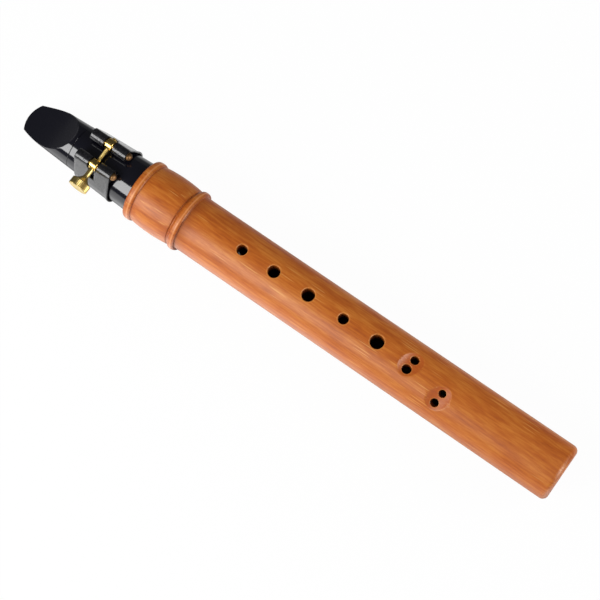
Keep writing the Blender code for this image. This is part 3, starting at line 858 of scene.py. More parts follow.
class Layout:
    """Where the instrument's axis and its pieces lie, read from the CAD model."""

    def __init__(self) -> None:
        """Measure the boxes of the body and the mouthpiece."""
        low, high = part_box("body")
        self.axis_y = (low.y + high.y) / 2.0
        self.axis_z = (low.z + high.z) / 2.0
        self.body_x = low.x
        self.foot_x = high.x
        self.tip_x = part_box("mouthpiece")[0].x

    def from_mouth(self, points: Array) -> Array:
        """Move points measured from the body's mouth and axis into place."""
        return points + np.array([self.body_x, self.axis_y, self.axis_z])

    def from_tip(self, points: Array) -> Array:
        """Move points measured from the mouthpiece's tip and axis into place."""
        return points + np.array([self.tip_x, self.axis_y, self.axis_z])


@dataclass
class Piece:
    """What all pieces share: the places and the finish."""

    layout: Layout
    finish: Material


def dress(item: Item, finish: Material, node: str) -> Item:
    """Give a piece its finish, and let it stand for its node.

    Args:
        item: the piece, which already follows its body.
        finish: its material.
        node: the CAD node that it stands for, which is hidden.

    Returns:
        The same piece.
    """
    item.data.materials.clear()
    item.data.materials.append(finish)
    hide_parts(node)
    LOG.info("%s: %d faces for %s", item.name, len(item.data.polygons), node)
    return item


def settle(item: Item, finish: Material, body: str, node: str) -> Item:
    """Let a piece ride on a body, and dress it for its node."""
    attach(item, body)
    return dress(item, finish, node)


# Turned body


@dataclass(frozen=True)
class Hole:
    """A finger hole inside its own patch of the body's surface.

    The patch lies round a place along the body and an angle from its top, and
    shifts place the hole's middle inside it.
    """

    along: float
    turn: float
    first_column: int
    last_column: int
    half_length: float
    radius: float
    rim: float
    rings: int
    shift_along: float = 0.0
    shift_across: float = 0.0
    dished: bool = False


@dataclass
class TurnedBody(Piece):
    """The wooden body: beads, bulb, bore, foot, finger holes and dishes.

    A bead, the bulb and the groove are given by width and height or depth. A
    hole is given in millimetres by its distance from the foot and its diameter,
    and a double by its distance, its angle in degrees and its two diameters.
    """

    length: float = 245.3 * MM
    radius: float = 14.68 * MM
    bore_radius: float = 7.3 * MM
    bore_chamfer: float = 0.4 * MM
    foot_round: float = 3.0 * MM
    socket_radius: float = 11.7 * MM
    socket_depth: float = 18.7 * MM
    socket_chamfer: float = 0.5 * MM
    bead_foot: float = 0.8 * MM
    mouth_bead: tuple = (4.4 * MM, 1.69 * MM)
    lower_bead: tuple = (3.7 * MM, 1.75 * MM)
    bulb: tuple = (21.2 * MM, 1.52 * MM)
    groove: tuple = (1.4 * MM, 0.6 * MM)
    shoulder_fillet: float = 0.3 * MM
    flat_share: float = math.cos(math.pi / 64)
    columns: int = 240
    single_holes: tuple = ((183.1, 5.3), (164.4, 6.2), (144.4, 6.5), (124.1, 5.3), (104.8, 7.0))
    thumb_hole: tuple = (189.5, 5.6)
    double_holes: tuple = ((85.8, -1.0, 4.3, 4.8), (66.4, 24.0, 3.8, 4.2))
    double_spacing: float = 5.65 * MM
    double_slant: float = math.radians(-9.0)
    dish_length: float = 10.9 * MM
    dish_depth: float = 1.55 * MM
    dish_edge: float = 0.13 * MM
    single_rim: float = 0.42 * MM
    double_rim: float = 0.22 * MM
    row_spacing: float = 8.0 * MM
    patch_spacing: float = 1.8 * MM
    patch_columns: int = 21
    patch_reach: float = 5.0 * MM
    patch_rings: int = 10
    double_columns: int = 34
    double_reach: float = 8.0 * MM
    double_rings: int = 34
    bead_steps: int = 20
    bulb_steps: int = 22
    groove_steps: int = 8
    groove_curve: float = 0.8
    fillet_steps: int = 5
    foot_steps: int = 12
    rim_steps: int = 7
    wall_steps: int = 6
    edge_margin: float = 0.3 * MM
    edge_rows: tuple = (-0.12 * MM, 0.0, 0.12 * MM, 0.5 * MM)
    drum_limit: float = 0.9
    dish_fade: tuple = (0.02 * MM, 0.35 * MM)
    # The dishes' edges and the holes' rims carry a painted highlight, and the holes' walls a
    # painted shade.
    dish_edge_fade: float = 0.04 * MM
    dish_edge_place: float = 0.05 * MM
    dish_edge_spread: float = 0.08 * MM
    dish_edge_share: float = 0.3
    double_rim_share: float = 0.8
    rim_fade: float = 0.25 * MM
    hole_shade_start: float = 0.25
    # Where the beads' painted highlight lies, and the painted shade mixed with dirt at their feet
    # and in the groove.
    crest_place: float = 0.62
    crest_spread: float = 0.075
    crease_shade_spread: float = 0.15
    groove_shade: float = 0.7
    groove_spread: float = 0.8

    def holes(self) -> list[Hole]:
        """Every finger hole and the thumb hole, with the patch that holds it.

        Returns:
            The single holes from the head to the foot, the thumb hole and the
            four holes of the two doubles.
        """
        found = []
        step = TURN / self.columns
        for turn, sizes in [(0.0, s) for s in self.single_holes] + [(math.pi, self.thumb_hole)]:
            middle = round(turn / step)
            found.append(Hole(
                along=self.length - sizes[0] * MM, turn=turn,
                first_column=middle - self.patch_columns,
                last_column=middle + self.patch_columns,
                half_length=self.patch_reach, radius=sizes[1] * MM / 2.0,
                rim=self.single_rim, rings=self.patch_rings))
        for from_foot, degrees, far, near in self.double_holes:
            turn = math.radians(degrees)
            middle = round(turn / step)
            for side, diameter in ((1, near), (-1, far)):
                columns = sorted((middle, middle + side * self.double_columns))
                found.append(Hole(
                    along=self.length - from_foot * MM, turn=turn,
                    first_column=columns[0], last_column=columns[1],
                    half_length=self.double_reach, radius=diameter * MM / 2.0,
                    rim=self.double_rim, rings=self.double_rings, dished=True,
                    shift_along=side * self.double_spacing / 2.0 * math.sin(self.double_slant),
                    shift_across=side * self.double_spacing / 2.0 * math.cos(self.double_slant)))
        return found

    def bead(self, start: float, width: float, rise: float) -> Array:
        """Half ellipse over the bead's foot: r = foot + height * sqrt(1 - s^2).

        Args:
            start: where the bead begins along the body.
            width: its width.
            rise: its height over the body's radius.

        Returns:
            The points (along, radius).
        """
        share = -np.cos(math.pi * np.arange(self.bead_steps + 1) / self.bead_steps)
        lift = np.sqrt(np.maximum(1.0 - share ** 2, 0.0))
        base = self.radius + self.bead_foot
        return np.stack([start + width * (1.0 + share) / 2.0,
                         base + (rise - self.bead_foot) * lift], -1)

    def head_profile(self) -> Array:
        """Mouth bead, bulb, rounded groove, lower bead and its shoulder fillet.

        Returns:
            The points (along, radius).
        """
        base = self.radius + self.bead_foot
        share = np.linspace(-1.0, 1.0, self.bulb_steps + 1)[1:]
        bulb = np.stack([self.mouth_bead[0] + self.bulb[0] * (1.0 + share) / 2.0,
                         base + (self.bulb[1] - self.bead_foot) * (1.0 - share ** 2)], -1)
        groove_x = self.mouth_bead[0] + self.bulb[0]
        share = np.linspace(0.0, 1.0, self.groove_steps + 1)[1:-1]
        depth = self.groove[1] * np.sin(math.pi * share) ** self.groove_curve
        groove = np.stack([groove_x + self.groove[0] * share, base - depth], -1)
        bead_x = groove_x + self.groove[0]
        fillet = arc_points((bead_x + self.lower_bead[0] + self.shoulder_fillet,
                             self.radius + self.shoulder_fillet), self.shoulder_fillet,
                            math.pi, 1.5 * math.pi, self.fillet_steps)
        return np.concatenate([self.bead(0.0, *self.mouth_bead), bulb, groove,
                               self.bead(bead_x, *self.lower_bead), fillet[:-1]])

    def row_places(self, start: float, end: float) -> Array:
        """Rows of the plain part: the patches' rows, filled in where they are far apart.

        Args:
            start: where the plain part begins.
            end: where it ends.

        Returns:
            The places along the body, in order.
        """
        marks = {start, end}
        for hole in self.holes():
            count = round(2.0 * hole.half_length / self.patch_spacing)
            rows = np.linspace(-hole.half_length, hole.half_length, count + 1)
            if hole.dished:
                edge = self.dish_length / 2.0 / math.cos(self.double_slant)
                side = np.concatenate([np.linspace(0.0, edge - self.edge_margin, 4),
                                       edge + np.array(self.edge_rows), [hole.half_length]])
                rows = np.concatenate([-side, side])
            marks |= {round(float(hole.along + row), 7) for row in rows}
        marks = sorted(marks)
        filled = []
        for low, high in zip(marks, marks[1:]):
            count = math.ceil((high - low) / self.row_spacing)
            filled.extend(np.linspace(low, high, count + 1)[:-1])
        return np.array(filled + [end])

    def dish_height(self, along: Array, across: Array) -> Array:
        """Height of the surface over the axis near a dish.

        Formula: the lower of the cylinder sqrt(R^2 - b^2) and the drum
        H + D - sqrt(D^2 - u^2), with u the distance across the drum's slanted
        axis, D its radius and H the dish's floor, with a rounded edge.

        Args:
            along: distances from the dish's middle along the body.
            across: distances from it across the body.

        Returns:
            The heights.
        """
        outer = self.radius * self.flat_share
        drum = ((self.dish_length / 2.0) ** 2 + self.dish_depth ** 2) / (2.0 * self.dish_depth)
        lateral = along * math.cos(self.double_slant) - across * math.sin(self.double_slant)
        cylinder = np.sqrt(outer ** 2 - across ** 2)
        hollow = outer - self.dish_depth + drum - np.sqrt(
            np.maximum(drum ** 2 - lateral ** 2, 0.0))
        out_of_reach = 10.0 * outer
        hollow = np.where(np.abs(lateral) > self.drum_limit * drum, out_of_reach, hollow)
        return smooth_min(cylinder, hollow, self.dish_edge)

    def profile(self) -> tuple[Array, Array, int, int]:
        """The closed profile: head, plain tube, foot, end face, bore and socket.

        Returns:
            The points (along, radius), the places of the tube's rows, and the
            numbers of the tube's first row outside and of its last row inside.
        """
        outer = self.radius * self.flat_share
        head = self.head_profile() * np.array([1.0, self.flat_share])
        foot_start = self.length - self.foot_round
        rows = self.row_places(head[-1, 0], foot_start)[1:]
        foot = arc_points((foot_start, outer - self.foot_round), self.foot_round,
                          *FALLING, self.foot_steps)[1:]
        end = np.array([
            (self.length, self.bore_radius + self.bore_chamfer),
            (self.length - self.bore_chamfer, self.bore_radius)])
        socket = np.array([
            (self.socket_depth, self.bore_radius), (self.socket_depth, self.socket_radius),
            (self.socket_depth / 2.0, self.socket_radius),
            (self.socket_chamfer, self.socket_radius),
            (0.0, self.socket_radius + self.socket_chamfer)])
        plain = np.stack([rows, np.full(len(rows), outer)], -1)
        bore_shade = np.stack([rows[::-1], np.full(len(rows), self.bore_radius)], -1)
        last_inner = len(head) + len(plain) + len(foot) + len(end) + len(rows) - 1
        return np.concatenate([head, plain, foot, end, bore_shade, socket]), rows, len(head), last_inner

    def surface(self) -> tuple[Array, list[Array], dict[str, Array]]:
        """The whole closed surface: a grid of revolution with a patch for each hole.

        Returns:
            The points, the faces and the masks named crest, rim, dish and bore, and the mask of
            painted crease shade mixed with dirt.
        """
        outer, columns = self.radius * self.flat_share, self.columns
        profile, rows, first_outer, last_inner = self.profile()
        angle = TURN * np.arange(columns) / columns
        points = around_axis(profile[:, :1], profile[:, 1:], angle[None, :]).reshape(-1, 3)
        marks = {name: [np.repeat(values, columns)]
                 for name, values in self.row_marks(profile, last_inner - len(rows)).items()}
        keep = np.ones((len(profile), columns), bool)
        blocks, faces, count = [points], [], len(points)
        for hole in self.holes():
            low = int(np.argmin(np.abs(rows - (hole.along - hole.half_length))))
            high = int(np.argmin(np.abs(rows - (hole.along + hole.half_length))))
            wide = np.arange(hole.first_column, hole.last_column) % columns
            keep[np.ix_(np.arange(first_outer + low, first_outer + high), wide)] = False
            keep[np.ix_(np.arange(last_inner - high, last_inner - low), wide)] = False
            i, j = self.border(low, high, hole.first_column, hole.last_column)
            top_ring = (first_outer + i) * columns + j % columns
            low_ring = (last_inner - i) * columns + j % columns
            turned = TURN * j / columns - hole.turn
            if hole.dished:
                shared = j == (hole.first_column if hole.shift_across > 0 else hole.last_column)
                spots = top_ring[shared]
                across = outer * np.sin(turned[shared])
                along = rows[i[shared]] - hole.along
                height = self.dish_height(along, across)
                blocks[0][spots] = self.lifted(hole, along, across, height)
                marks["dish"][0][spots] = smooth_step(
                    *self.dish_fade, np.sqrt(outer ** 2 - across ** 2) - height)
            patch, made = self.patch(hole, rows[i] - hole.along, turned, outer)
            names = count + np.arange(len(patch)).reshape(-1, len(i))
            rings = np.concatenate([top_ring[None], names, low_ring[None]])
            faces.extend(ring_quads(ring, following) for ring, following in zip(rings, rings[1:]))
            blocks.append(patch)
            count += len(patch)
            for name, values in made.items():
                marks[name].append(values)
        faces.append(grid_quads(len(profile), columns, True, True, keep))
        return np.concatenate(blocks), faces, {
            name: np.concatenate(values) for name, values in marks.items()}

    def row_marks(self, profile: Array, before_bore: int) -> dict[str, Array]:
        """Masks of the profile's rows.

        The beads' crests get a painted highlight, their feet and the groove
        painted shade mixed with dirt, and the bore painted shade.

        Args:
            profile: (along, radius) of the whole closed profile.
            before_bore: number of the last row before the bore.

        Returns:
            The masks by name, one value for each row.
        """
        lower = self.mouth_bead[0] + self.bulb[0] + self.groove[0]
        outside = profile[:, 1] > self.radius * 0.9
        crest, dirt_and_crease_shade = np.zeros(len(profile)), np.zeros(len(profile))
        for start, width in ((0.0, self.mouth_bead[0]), (lower, self.lower_bead[0])):
            share = (profile[:, 0] - start) / width
            crest = np.maximum(
                crest, np.exp(-((share - self.crest_place) / self.crest_spread) ** 2))
            for foot in (0.0, 1.0):
                dirt_and_crease_shade = np.maximum(dirt_and_crease_shade, np.exp(-((share - foot) / self.crease_shade_spread) ** 2))
        groove = (profile[:, 0] - lower + self.groove[0] / 2.0) / self.groove[0]
        dirt_and_crease_shade = np.maximum(
            dirt_and_crease_shade, self.groove_shade * np.exp(-(groove / self.groove_spread) ** 2))
        bore = np.zeros(len(profile))
        bore[before_bore:-2] = 1.0
        return {"crest": np.where(outside, crest, 0.0), "dirt_and_crease_shade": np.where(outside, dirt_and_crease_shade, 0.0),
                "rim": np.zeros(len(profile)), "dish": np.zeros(len(profile)), "bore": bore}

    def border(self, low: int, high: int, left: int, right: int) -> tuple[Array, Array]:
        """Row and column numbers once round a patch's rectangle.

        Args:
            low: its first row.
            high: its last row.
            left: its first column.
            right: its last column.

        Returns:
            The rows and the columns.
        """
        i = np.concatenate([np.full(right - left, low), np.arange(low, high),
                            np.full(right - left, high), np.arange(high, low, -1)])
        j = np.concatenate([np.arange(left, right), np.full(high - low, right),
                            np.arange(right, left, -1), np.full(high - low, left)])
        return i, j

    def lifted(self, hole: Hole, along: Array, across: Array, height: Array) -> Array:
        """Points over a patch.

        Args:
            hole: the patch's hole.
            along: distances from the patch's middle along X.
            across: distances from it across the body.
            height: heights over the body's axis.

        Returns:
            The points in the body's frame.
        """
        across_way = np.array([0.0, -math.cos(hole.turn), -math.sin(hole.turn)])
        out_way = np.array([0.0, -math.sin(hole.turn), math.cos(hole.turn)])
        return (np.array([1.0, 0.0, 0.0]) * (hole.along + along)[..., None]
                + across_way * across[..., None] + out_way * height[..., None])

    def patch(self, hole: Hole, along: Array, turned: Array, outer: float) -> tuple[
            Array, dict[str, Array]]:
        """Rings from a patch's outer border into its hole and out to the bore's border.

        The first rings shrink from the rectangle to the rim's circle, the next
        follow the rim's quarter round, then the wall, then the bore. Each ring
        lies on the height of the body, less the drop of the rim.

        Args:
            hole: the hole.
            along: the border's distances along the body from the patch's middle.
            turned: the border's angles from the patch's middle.
            outer: radius of the body.

        Returns:
            The rings' points and their masks.
        """
        def ground(a: Array, b: Array) -> Array:
            """Height of the body over its axis."""
            return self.dish_height(a, b) if hole.dished else np.sqrt(outer ** 2 - b ** 2)

        rows, rims, bores = [], [], []

        def add(a: Array, b: Array, height: Array, rim: Array, bore: Array) -> None:
            """Keep rings of points at (a, b) with their heights and masks."""
            rows.append(self.lifted(hole, a, b, height))
            rims.append(np.broadcast_to(rim, a.shape))
            bores.append(np.broadcast_to(bore, a.shape))

        wide = np.stack([along, outer * np.sin(turned)])
        tight = np.stack([along, self.bore_radius * np.sin(turned)])
        middle = np.array([[hole.shift_along], [hole.shift_across]])
        spin_out = np.unwrap(np.arctan2(*(wide - middle)[::-1]))
        spin_in = np.unwrap(np.arctan2(*(tight - middle)[::-1]))
        circle = np.stack([np.cos(spin_out), np.sin(spin_out)])
        share = (np.arange(1, hole.rings + 1) / hole.rings)[:, None, None]
        flat = (1.0 - share) * wide + share * (middle + (hole.radius + hole.rim) * circle)
        gap = np.hypot(*(flat - middle).transpose(1, 0, 2)) - hole.radius
        # The rim mask is a painted highlight on the flat ring round the hole and on its rounded
        # lip.
        add(flat[:, 0], flat[:, 1], ground(flat[:, 0], flat[:, 1]),
            1.0 - smooth_step(hole.rim, hole.rim + self.rim_fade, gap), 0.0)
        # The bore mask paints shade that grows over the rim's rounded lip and deepens down the wall
        # into the bore.
        bend = (np.linspace(0.0, math.pi / 2.0, self.rim_steps + 1)[1:])[:, None]
        reach = hole.radius + hole.rim * (1.0 - np.sin(bend))
        a, b = middle[0] + reach * circle[0], middle[1] + reach * circle[1]
        add(a, b, ground(a, b) - hole.rim * (1.0 - np.cos(bend)), np.cos(bend) ** 0.5,
            self.hole_shade_start * (1.0 - np.cos(bend)))
        share = (np.arange(1, self.wall_steps + 1) / self.wall_steps)[:, None]
        spin = (1.0 - share) * spin_out + share * spin_in
        a = middle[0] + hole.radius * np.cos(spin)
        b = middle[1] + hole.radius * np.sin(spin)
        height = (1.0 - share) * (ground(a, b) - hole.rim) + share * np.sqrt(
            self.bore_radius ** 2 - b ** 2)
        add(a, b, height, 0.0, self.hole_shade_start + (1.0 - self.hole_shade_start) * share)
        share = share[:-1]
        a = (1.0 - share) * (middle[0] + hole.radius * np.cos(spin_in)) + share * tight[0]
        b = (1.0 - share) * (middle[1] + hole.radius * np.sin(spin_in)) + share * tight[1]
        add(a, b, np.sqrt(self.bore_radius ** 2 - b ** 2), 0.0, 1.0)
        points = np.concatenate(rows)
        dish = np.zeros(points.shape[:2])
        if hole.dished:
            plain = np.sqrt(outer ** 2 - flat[:, 1] ** 2)
            depth = plain - self.dish_height(flat[:, 0], flat[:, 1])
            dish[:hole.rings] = smooth_step(*self.dish_fade, depth)
            dish[hole.rings:hole.rings + self.rim_steps] = 1.0
            # A pale line of painted highlight round the dish's edge, kept in the rim mask.
            edge = np.exp(-((depth - self.dish_edge_place) / self.dish_edge_spread) ** 2)
            edge = edge * smooth_step(0.0, self.dish_edge_fade, depth)
            rims[0] = np.maximum(self.double_rim_share * rims[0], self.dish_edge_share * edge)
        marks = {"rim": np.concatenate(rims).ravel(), "dish": dish.ravel(),
                 "bore": np.concatenate(bores).ravel(), "dirt_and_crease_shade": np.zeros(dish.size),
                 "crest": np.zeros(dish.size)}
        return points.reshape(-1, 3), marks

    def build(self) -> Item:
        """The body in its place, in its finish, standing for its node.

        Returns:
            The piece.
        """
        points, faces, marks = self.surface()
        item = make_piece("turned_body", self.layout.from_mouth(points), faces, 40.0, marks)
        return settle(item, self.finish, "body", "body")


# Mouthpiece


@dataclass
class Mouthpiece(Piece):
    """The black mouthpiece with its beak, facing, window, score ring and tenon."""

    length: float = 71.8 * MM
    tip_radius: float = 9.91 * MM
    shank_radius: float = 13.57 * MM
    beak_length: float = 32.0 * MM
    beak_curve: float = 1.6
    tip_thickness: float = 0.9 * MM
    tip_arc: float = 14.0 * MM
    tip_arc_reach: float = 9.0 * MM
    flank_width: float = 13.8 * MM
    flank_length: float = 18.0 * MM
    flank_curve: float = 1.6
    table_depth: float = 7.8 * MM
    table_slope: float = 0.0567
    table_end: float = 67.8 * MM
    table_runout: float = 1.1 * MM
    facing_length: float = 18.0 * MM
    tip_opening: float = 1.1 * MM
    score_place: float = 34.3 * MM
    score_width: float = 0.4 * MM
    score_depth: float = 0.3 * MM
    columns: int = 360
    cut_margin: float = 5.0 * MM
    tip_round: float = 0.35 * MM
    shank_round: float = 0.35 * MM
    widening: float = 7.0
    arc_limit: float = 0.9
    flank_crease: float = 0.35 * MM
    beak_crease: float = 0.45 * MM
    table_crease: float = 0.12 * MM
    worn_reach: float = 0.5 * MM
    beak_fade: tuple = (-0.3 * MM, 0.1 * MM)
    window_start: float = 1.0 * MM
    window_width: float = 11.4 * MM
    window_narrowing: float = 2.8 * MM
    window_end: float = 33.0 * MM
    arc_rounds: int = 5

    def taper(self, x: Array | float) -> Array | float:
        """Radius of the taper: tip + (shank - tip) * x / length."""
        return self.tip_radius + (self.shank_radius - self.tip_radius) * x / self.length

    def radius_at(self, x: Array) -> Array:
        """Radius of the taper, less the score ring's groove."""
        groove = np.clip(1.0 - np.abs(x - self.score_place) / (self.score_width / 2.0), 0.0, 1.0)
        return self.taper(x) - self.score_depth * groove

    def facing(self, x: Array) -> Array:
        """Height of the table: -depth - slope x + opening * (1 - x / facing)^2."""
        share = np.maximum(1.0 - x / self.facing_length, 0.0)
        return -self.table_depth - self.table_slope * x + self.tip_opening * share ** 2

    def lower_limit(self, x: Array) -> Array:
        """The table's height, with the steep runout behind it.

        Args:
            x: distances from the tip.

        Returns:
            The heights.
        """
        drop = self.shank_radius + self.cut_margin - self.table_depth - (
            self.table_slope * self.table_end)
        runout = np.maximum(x - self.table_end, 0.0) * drop / self.table_runout
        return self.facing(np.minimum(x, self.table_end)) - runout

    def beak(self, x: Array) -> Array:
        """Height of the hollow beak: tip + (top - tip) * (x / length)^curve.

        Args:
            x: distances from the tip.

        Returns:
            The heights.
        """
        tip = self.facing(np.zeros(1))[0] + self.tip_thickness
        top = self.taper(self.beak_length)
        return tip + (top - tip) * np.maximum(x / self.beak_length, 0.0) ** self.beak_curve

    def flank(self, x: Array) -> Array:
        """Half width from above: full - (full - tip) * (1 - x / length)^curve.

        Args:
            x: distances from the tip.

        Returns:
            The half widths.
        """
        full = self.radius_at(np.full(1, self.flank_length))[0]
        share = np.maximum(1.0 - x / self.flank_length, 0.0) ** self.flank_curve
        widening = np.maximum(x - self.flank_length, 0.0) * self.widening
        return full - (full - self.flank_width / 2.0) * share + widening

    def arc(self, y: Array) -> Array:
        """How far back the tip's arc lies: R - sqrt(R^2 - y^2)."""
        held = np.minimum(np.abs(y), self.arc_limit * self.tip_arc)
        return self.tip_arc - np.sqrt(self.tip_arc ** 2 - held ** 2)

    def stations(self) -> Array:
        """Places along the mouthpiece, close together where its form turns.

        Returns:
            The distances from the tip, in order.
        """
        fine = self.tip_round / MM * (1.0 - np.cos(np.linspace(0.0, math.pi / 2.0, 9)))
        return MM * np.concatenate([
            fine, [0.5, 0.7], np.arange(1.0, 6.0, 0.4), np.arange(6.0, 30.0, 0.8),
            np.arange(30.0, 33.9, 0.4), [34.0, 34.09], np.arange(34.12, 34.5, 0.04),
            [34.54, 34.7], np.arange(35.4, 67.0, 1.6), np.arange(67.0, 68.9, 0.08),
            np.arange(69.0, 71.4, 0.6)])

    def surface(self) -> tuple[Array, Array, dict[str, Array]]:
        """Loft of the outside up to the shoulder, then the tenon as a lathe.

        At each station a ray leaves the middle of the section at the angle t of an
        ellipse as wide and high as the section. It ends at the nearest of the beak,
        the table, the flanks and the tapered circle, with rounded creases. The
        stations near the tip bend back along the tip's arc.

        Returns:
            The points, the quads and the masks named edge and beak.
        """
        station = self.stations()[:, None]
        turn = TURN * np.arange(self.columns)[None, :] / self.columns
        x = station + 0.0 * turn
        fade = np.maximum(1.0 - station / self.tip_arc_reach, 0.0)
        for _ in range(self.arc_rounds):
            y, z, edge, beak = self.section(x, turn)
            x = station + self.arc(y) * fade
        tip = np.clip(station / self.tip_round, 0.0, 1.0)
        rounding = np.sqrt(1.0 - (1.0 - tip) ** 2)
        centre = (self.beak(x) + self.facing(x)) / 2.0
        z = np.where(station < self.tip_round, centre + (z - centre) * rounding, z)
        loft = np.stack([x, -y, z], -1)
        tenon = self.tenon_profile()
        lathe = around_axis(tenon[:, :1], tenon[:, 1:], turn)
        points = np.concatenate([loft, lathe]).reshape(-1, 3)
        rows = len(loft) + len(lathe)
        worn = np.concatenate([edge, np.zeros(lathe.shape[:2])])
        dull = np.concatenate([beak, np.zeros(lathe.shape[:2])])
        return points, grid_quads(rows, self.columns, False, True), {
            "edge": worn.ravel(), "beak": dull.ravel()}

    def section(self, x: Array, turn: Array) -> tuple[Array, Array, Array, Array]:
        """Points of the sections at x.

        Args:
            x: places along the mouthpiece, one for each point.
            turn: the angles of the rays.

        Returns:
            The points' widths and heights, and the masks of the edges and the beak.
        """
        radius, low, beak = self.radius_at(x), self.lower_limit(x), self.beak(x)
        flank = self.flank(x)
        top, bottom = np.minimum(beak, radius), np.maximum(low, -radius)
        centre = (top + bottom) / 2.0
        way_y = np.minimum(flank, radius) * np.sin(turn)
        way_z = (top - bottom) / 2.0 * np.cos(turn)
        norm = np.hypot(way_y, way_z)
        far = 1000.0 * MM
        tiny = 1e-9
        over = np.where(way_z > tiny, (beak - centre) / np.maximum(way_z, tiny) * norm, far)
        under = np.where(way_z < -tiny, (low - centre) / np.minimum(way_z, -tiny) * norm, far)
        side = flank / np.maximum(np.abs(way_y), tiny) * norm
        half, shift = centre * way_z, centre ** 2 - radius ** 2
        root = np.sqrt(np.maximum(half ** 2 - norm ** 2 * shift, 0.0))
        round_ = (-half + root) / norm ** 2 * norm
        around = smooth_min(round_, side, self.flank_crease)
        reach = smooth_min(smooth_min(around, over, self.beak_crease), under, self.table_crease)
        close = np.minimum(np.abs(around - over), np.abs(around - under))
        edge = 1.0 - smooth_step(0.0, self.worn_reach, close)
        beak_mask = 1.0 - smooth_step(*self.beak_fade, over - around)
        return reach / norm * way_y, centre + reach / norm * way_z, edge, beak_mask

    def tenon_profile(self) -> Array:
        """Shoulder, tenon with its cork groove, and the closed end.

        Returns:
            The points (along, radius).
        """
        round_ = self.shank_round
        shank = arc_points((self.length - round_, self.shank_radius - round_ - 0.01 * MM),
                           round_, *FALLING, 5)
        rest = MM * np.array([
            (71.8, 12.6), (71.8, 11.0), (72.6, 11.0), (74.0, 11.0), (74.0, 10.1), (80.8, 10.1),
            (87.6, 10.1), (87.6, 11.0), (88.7, 11.0), (89.8, 11.0), (90.12, 10.9),
            (90.3, 10.6), (90.3, 9.0), (90.3, 0.0)])
        return np.concatenate([shank, rest])

    def window_cutter(self) -> Item:
        """Prism of the window and chamber: its outline in X and Z, narrowing back.

        Returns:
            The cutter.
        """
        front = self.window_start + float(self.arc(np.array([self.window_width / 2.0]))[0])
        mouth = float(self.facing(np.array([front]))[0])
        outline = np.array([
            (front, mouth - 5.0 * MM), (front, mouth + 0.1 * MM), (14.0 * MM, -3.6 * MM),
            (self.window_end, 6.0 * MM), (40.0 * MM, 6.0 * MM), (40.0 * MM, -6.0 * MM),
            (34.5 * MM, -6.0 * MM), (self.window_end, -14.67 * MM)])
        narrowed = self.window_narrowing * outline[:, 0] / self.window_end
        half = (self.window_width - narrowed) / 2.0
        sides = [np.stack([outline[:, 0], way * half, outline[:, 1]], -1) for way in (-1.0, 1.0)]
        count = len(outline)
        first = np.arange(count)
        faces = [first[None, :], first[None, :] + count, ring_quads(first, first + count)]
        return make_piece("window_cutter", np.concatenate(sides), faces)

    def bore_cutter(self) -> Item:
        """Tapered bore from the tenon's end to the chamber.

        Returns:
            The cutter.
        """
        profile = MM * np.array([(35.0, 0.0), (35.0, 6.9), (60.0, 7.13), (90.3, 7.4),
                                 (95.3, 7.4), (95.3, 0.0)])
        points, quads = revolve(profile, 96)
        return make_piece("bore_cutter", points, [quads])

    def build(self) -> Item:
        """The mouthpiece in its place, in its finish, standing for its node.

        Returns:
            The piece.
        """
        points, quads, marks = self.surface()
        item = make_piece("black_mouthpiece", points, [quads], marks=marks)
        carve(item, [self.window_cutter(), self.bore_cutter()])
        shift_mesh(item, self.layout.from_tip(np.zeros(3)))
        return settle(item, self.finish, "mouthpiece", "mouthpiece")


def shift_mesh(item: Item, offset: Array) -> None:
    """Move a piece's mesh, and leave its object at the origin."""
    item.data.transform(Matrix.Translation(Vector(offset.tolist())))


@dataclass
class TenonCork(Piece):
    """The cork sleeve on the tenon."""

    inner: float = 10.35 * MM
    outer: float = 11.5 * MM
    start: float = 74.25 * MM
    end: float = 87.35 * MM
    edge: float = 0.5 * MM
    columns: int = 180
    rows: int = 40
    ripple: float = 0.03 * MM
    ripples_round: float = 7.0
    ripples_along: float = 900.0
    seam: float = 0.12 * MM
    seam_slant: float = 6.0
    seam_width: float = 0.03

    def build(self) -> Item:
        """The sleeve: rounded ends and a faint glued seam, as a closed lathe.

        Formula: r = R - |ripple sin(7 angle + 900 x)| - seam exp(-(d / width)^2),
        with d the angle from the slanted seam.

        Returns:
            The piece.
        """
        near = arc_points((self.start + self.edge, self.outer - self.edge), self.edge,
                          *RISING, 6)
        far = arc_points((self.end - self.edge, self.outer - self.edge), self.edge,
                         *FALLING, 6)
        middle = straight(self.start + 2.0 * self.edge, self.end - 2.0 * self.edge, self.outer,
                          self.rows)
        profile = np.concatenate([[(self.start, self.inner)], near, middle, far,
                                  [(self.end, self.inner)]])
        angle = TURN * np.arange(self.columns)[None, :] / self.columns
        ripple = self.ripple * np.sin(
            angle * self.ripples_round + profile[:, :1] * self.ripples_along)
        from_seam = angle - math.pi - profile[:, :1] * self.seam_slant
        seam = self.seam * np.exp(-(from_seam / self.seam_width) ** 2)
        radius = profile[:, 1:] - np.where(
            profile[:, 1:] > self.outer - 0.1 * MM, np.abs(ripple) + seam, 0.0)
        points = around_axis(profile[:, :1], radius, angle).reshape(-1, 3)
        item = make_piece("tenon_cork_sleeve", self.layout.from_tip(points),
                          [grid_quads(len(profile), self.columns, True, True)])
        return settle(item, self.finish, "cork", "tenon_cork")


